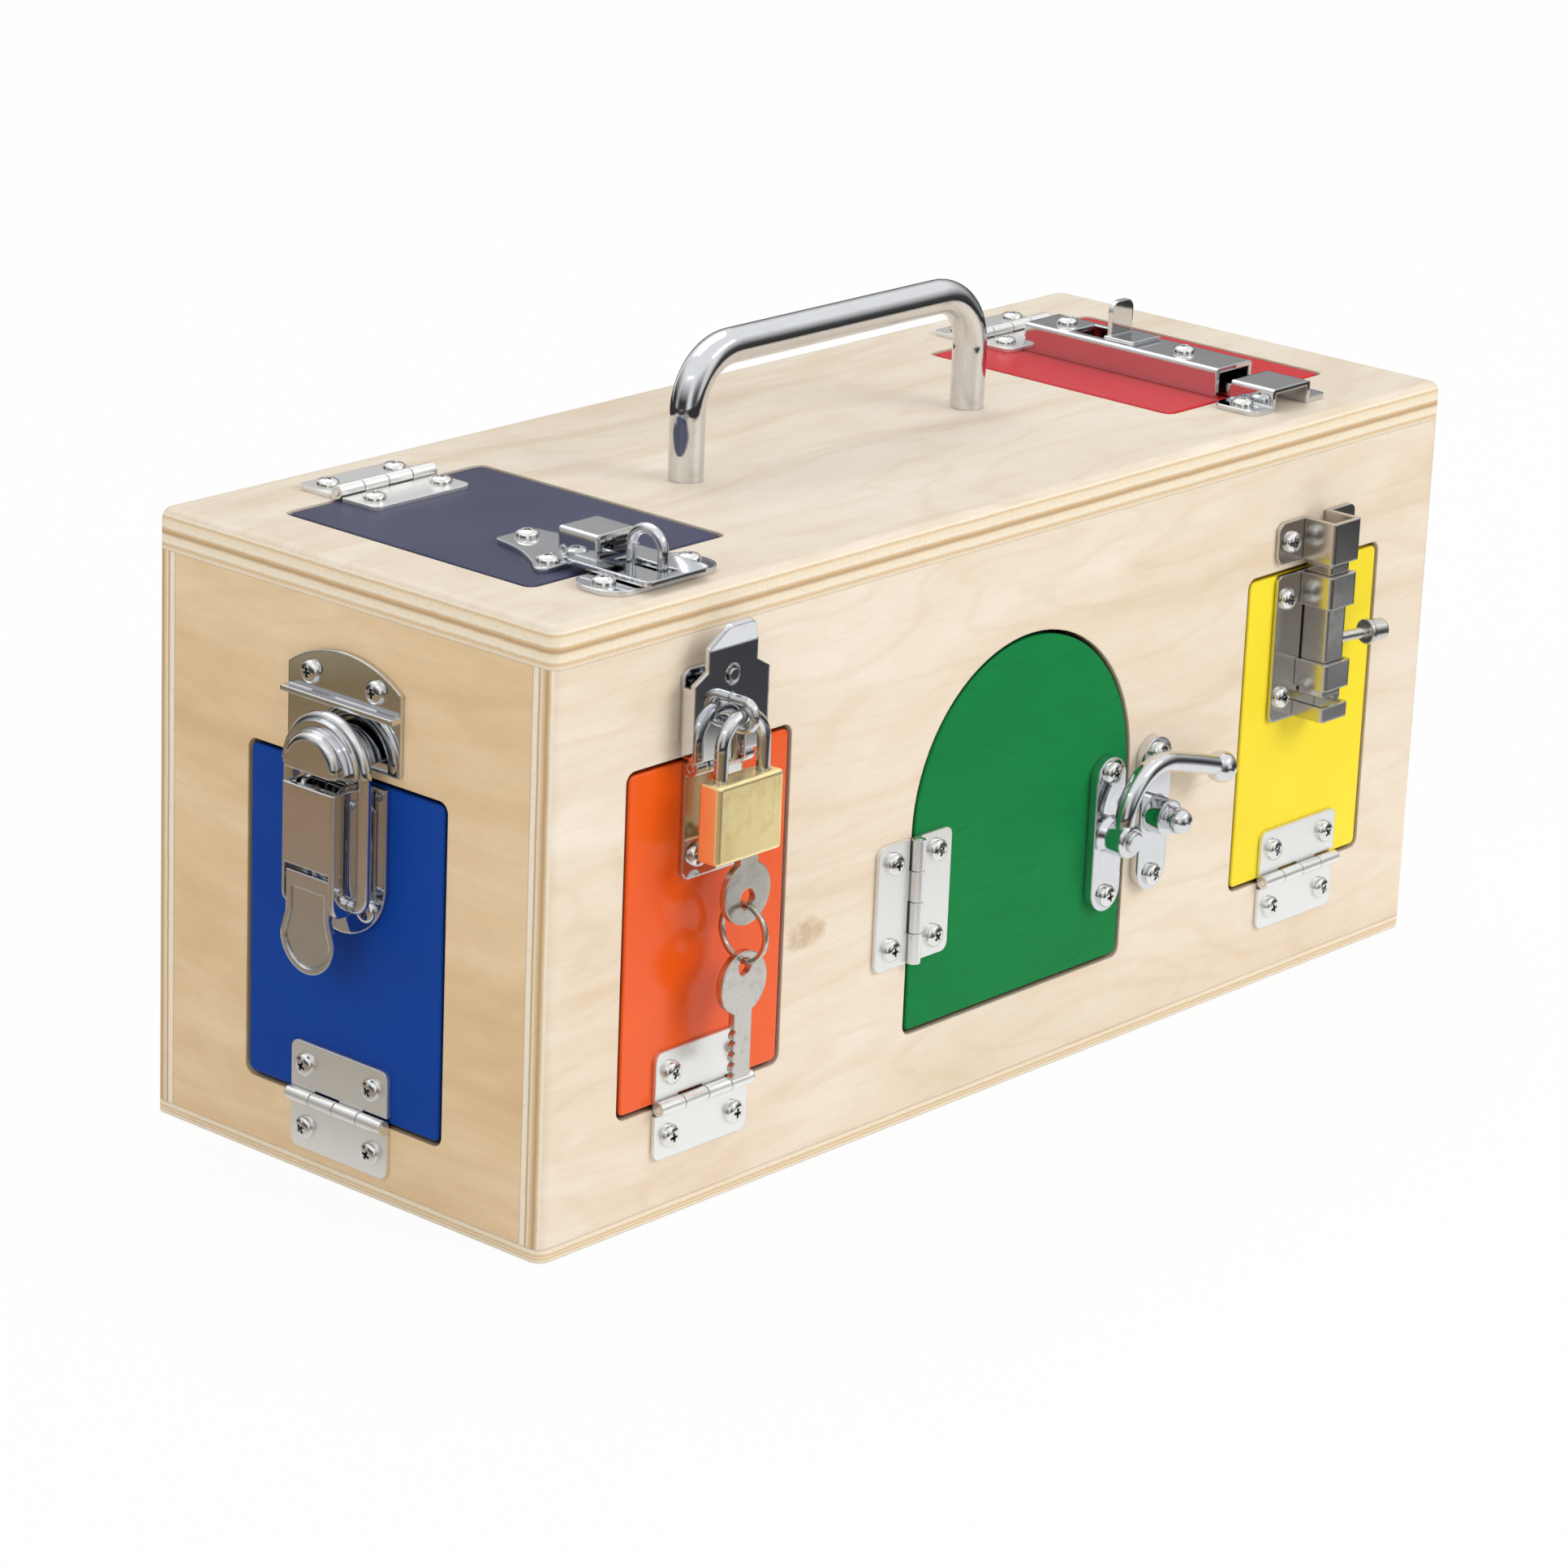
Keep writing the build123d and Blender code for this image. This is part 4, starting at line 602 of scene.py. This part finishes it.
def windRing():
    low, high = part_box("key_ring")
    middle = (low + high) / 2
    wire = high.x - low.x
    labels = {label: "Float" for label in splitRing}
    tree, start, given, keys = newTree("splitRing", {
        **labels, "Radius": "Float", "Centre": "Vector", "Finish": "Material"})
    half = given["Wire width"] * given["Turns"] / 2.0
    coil = start.node("GeometryNodeCurveSpiral", {}, {
        "Resolution": ringForm["steps"], "Rotations": given["Turns"], "Start Radius": given["Radius"],
        "End Radius": given["Radius"], "Height": half})
    section = start.node("GeometryNodeCurvePrimitiveQuadrilateral", {}, {
        "Width": given["Wire thickness"], "Height": given["Wire width"]})
    section = start.node("GeometryNodeFilletCurve", {"mode": "POLY"}, {
        "Curve": section, "Radius": given["Edge"], "Count": ringForm["edgeSteps"]})
    wound = start.node("GeometryNodeCurveToMesh", {}, {
        "Curve": coil, "Profile Curve": section, "Fill Caps": True})
    level = start.node("ShaderNodeCombineXYZ", {}, {2: half / -2.0})
    wound = start.node("GeometryNodeTransform", {}, {"Geometry": wound, "Translation": level})
    hung = start.node("GeometryNodeTransform", {}, {
        "Geometry": wound, "Rotation": ringForm["hang"], "Translation": given["Centre"]})
    closeTree(start, hung, given["Finish"])
    holder = bpy.data.objects.new("split_ring", bpy.data.meshes.new("split_ring"))
    radius = (high.z - low.z - wire) / 2
    ring = growMesh(holder, tree, keys, {
        **splitRing, "Radius": radius, "Centre": middle, "Finish": finishes["key_nickel"]})
    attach(ring, "key_ring")
    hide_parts("key_ring")
    print("split ring wound:", len(ring.data.polygons), "faces")


windRing()


# Floor, light and camera
studio = {
    "white": (1.0, 1.0, 1.0, 1.0), "worldLight": 0.55, "aim": (0.0, 0.0, 0.07),
    "floorSize": 8.0, "floorDrop": 0.3 * mm, "floorGlow": 0.94, "floorColour": (0.9, 0.9, 0.9, 1.0),
    "keyPlace": (1.0, -2.0, 1.3), "keySize": (1.6, 1.2), "keyPower": 29.0,
    "topPlace": (0.3, 0.9, 2.0), "topSize": (1.8, 1.4), "topPower": 13.0,
    "fillPlace": (-1.9, -0.3, 1.0), "fillSize": (1.2, 1.2), "fillPower": 9.0,
}
view = {
    "place": (-924.9 * mm, -791.2 * mm, 466.4 * mm), "target": (-8.8 * mm, 4.0 * mm, 57.0 * mm),
    "roll": 2.36, "lens": 128.1, "sensor": 36.0, "nearest": 0.05,
}
cards = {   # what only reflections see: shaded paper lying round the box, and a striped wall round both
    "paperSize": 3.2, "paperDrop": 0.1 * mm, "boxHalf": (155.0 * mm, 62.0 * mm), "reach": 0.5,
    "front": ((0.0, (1.0, 1.0, 1.0)), (0.22, (0.98, 0.98, 0.98)), (0.33, (0.16, 0.16, 0.17)),
              (0.42, (0.07, 0.07, 0.08)), (1.0, (0.04, 0.04, 0.04))),
    "left": ((0.0, (0.36, 0.32, 0.26)), (0.25, (0.34, 0.28, 0.21)), (0.45, (0.38, 0.25, 0.16)),
             (0.62, (0.25, 0.19, 0.10)), (0.80, (0.55, 0.48, 0.36)), (1.0, (0.05, 0.04, 0.04))),
    "leftFrom": -0.13, "leftTo": -0.20,
    # centre of each bright spot, its outer and inner radius, its tone
    "spots": (((0.335, -0.262), 0.055, 0.020, (0.85, 0.86, 0.88, 1.0)),
              ((0.112, -0.233), 0.065, 0.030, (1.0, 0.98, 0.90, 1.0))),
    "wallRadius": 1.7, "wallHeight": 1.4, "wallFaces": 48, "wallFadeFrom": 0.30, "wallFadeTo": 1.30,
    "stripes": ((0.0, 0.05), (0.07, 0.05), (0.10, 0.9), (0.14, 0.9), (0.17, 0.10), (0.24, 0.10), (0.27, 0.85),
                (0.31, 0.85), (0.34, 0.06), (0.43, 0.06), (0.47, 0.30), (0.53, 0.10), (0.60, 0.12),
                (0.68, 0.10), (0.71, 0.8), (0.75, 0.8), (0.78, 0.05), (0.87, 0.05), (0.90, 0.6), (0.94, 0.05),
                (1.0, 0.05)),
}


def seenDirectly(start):
    path = start.node("ShaderNodeLightPath").socket.node
    camera, glossy, through = (Wire(start.tree, path.outputs[name]) for name in
                               ("Is Camera Ray", "Is Glossy Ray", "Is Transmission Ray"))
    return start.math("MINIMUM", camera + glossy + through, 1.0)


def levelSquare(name, size, height, material):
    half = size / 2
    mesh = bpy.data.meshes.new(name)
    corners = [(x * half, y * half, height) for x, y in ((-1, -1), (1, -1), (1, 1), (-1, 1))]
    mesh.from_pydata(corners, [], [(0, 1, 2, 3)])
    mesh.materials.append(material)
    return bpy.data.objects.new(name, mesh)


def closeGlow(start, tone):
    glow = start.node("ShaderNodeEmission", {}, {"Color": tone, "Strength": 1.0})
    start.node("ShaderNodeOutputMaterial", {}, {"Surface": glow})


def reflectionOnly(card):
    scene.collection.objects.link(card)
    card.visible_camera = False
    card.visible_diffuse = False
    card.visible_shadow = False
    card.visible_transmission = False


def layFloor():
    material, start = newFinish("paleFloor")
    matt = start.node("ShaderNodeBsdfDiffuse", {}, {"Color": studio["floorColour"]})
    glow = start.node("ShaderNodeEmission", {}, {"Color": studio["white"], "Strength": 1.0})
    share = seenDirectly(start) * studio["floorGlow"]
    both = start.node("ShaderNodeMixShader", {}, {0: share, 1: matt, 2: glow})
    start.node("ShaderNodeOutputMaterial", {}, {"Surface": both})
    floor = levelSquare("floor", studio["floorSize"], -studio["floorDrop"], material)
    scene.collection.objects.link(floor)


def layPaper():
    material, start = newFinish("shadedPaper")
    x, y = objectAxes(start, "XY")
    beyondX, beyondY = (start.math("MAXIMUM", start.math("ABSOLUTE", axis) - half, 0.0)
                        for axis, half in zip((x, y), cards["boxHalf"]))
    reach = ((beyondX ** 2.0 + beyondY ** 2.0) ** 0.5) / cards["reach"]
    shades = []
    for side in ("front", "left"):
        stops = [(at, (*tone, 1.0)) for at, tone in cards[side]]
        shades.append(start.node("ShaderNodeValToRGB", {"stops": stops}, {0: reach}))
    tone = start.blend(between(start, x, cards["leftFrom"], cards["leftTo"]), *shades)
    for (spotX, spotY), outer, inner, bright in cards["spots"]:
        fromSpot = ((x - spotX) ** 2.0 + (y - spotY) ** 2.0) ** 0.5
        tone = start.blend(between(start, fromSpot, outer, inner), tone, bright)
    closeGlow(start, tone)
    reflectionOnly(levelSquare("shaded_paper", cards["paperSize"], -cards["paperDrop"], material))


def raiseWall():
    material, start = newFinish("stripedWall")
    x, y, z = objectAxes(start)
    turn = start.math("ARCTAN2", y, x) / math.tau + 0.5
    stops = [(at, (tone, tone, tone, 1.0)) for at, tone in cards["stripes"]]
    stripes = start.node("ShaderNodeValToRGB", {"stops": stops}, {0: turn})
    fade = between(start, z, cards["wallFadeFrom"], cards["wallFadeTo"])
    closeGlow(start, start.blend(fade, stripes, studio["white"]))
    count = cards["wallFaces"]
    radius = cards["wallRadius"]
    rims = []
    for height in (0.0, cards["wallHeight"]):
        for index in range(count):
            angle = math.tau * index / count
            rims.append((math.cos(angle) * radius, math.sin(angle) * radius, height))
    faces = []
    for index in range(count):
        after = (index + 1) % count
        faces.append((index, after, after + count, index + count))
    wall = bpy.data.meshes.new("striped_wall")
    wall.from_pydata(rims, [], faces)
    wall.materials.append(material)
    reflectionOnly(bpy.data.objects.new("striped_wall", wall))


def setLight():
    world = bpy.data.worlds.new("studio")
    scene.world = world
    world.use_nodes = True
    world.node_tree.nodes.clear()
    start = Wire(world.node_tree)
    strength = seenDirectly(start) * (1 - studio["worldLight"]) + studio["worldLight"]
    sky = start.node("ShaderNodeBackground", {}, {"Color": studio["white"], "Strength": strength})
    start.node("ShaderNodeOutputWorld", {}, {"Surface": sky})
    for name in ("key", "top", "fill"):
        lamp = bpy.data.lights.new(name, "AREA")
        lamp.shape = "RECTANGLE"
        lamp.size, lamp.size_y = studio[name + "Size"]
        lamp.energy = studio[name + "Power"]
        holder = bpy.data.objects.new(name, lamp)
        scene.collection.objects.link(holder)
        holder.location = studio[name + "Place"]
        toAim = Vector(studio["aim"]) - holder.location
        holder.rotation_euler = toAim.to_track_quat("-Z", "Y").to_euler()


def setCamera():
    lens = bpy.data.cameras.new("camera")
    lens.lens = view["lens"]
    lens.sensor_width = view["sensor"]
    lens.clip_start = view["nearest"]
    camera = bpy.data.objects.new("camera", lens)
    scene.collection.objects.link(camera)
    camera.location = view["place"]
    toTarget = Vector(view["target"]) - camera.location
    level = toTarget.to_track_quat("-Z", "Y")
    camera.rotation_euler = (level @ Quaternion((0, 0, 1), math.radians(view["roll"]))).to_euler()
    scene.camera = camera


layFloor()
layPaper()
raiseWall()
setLight()
setCamera()
scene.view_settings.view_transform = "Standard"
print("studio set")
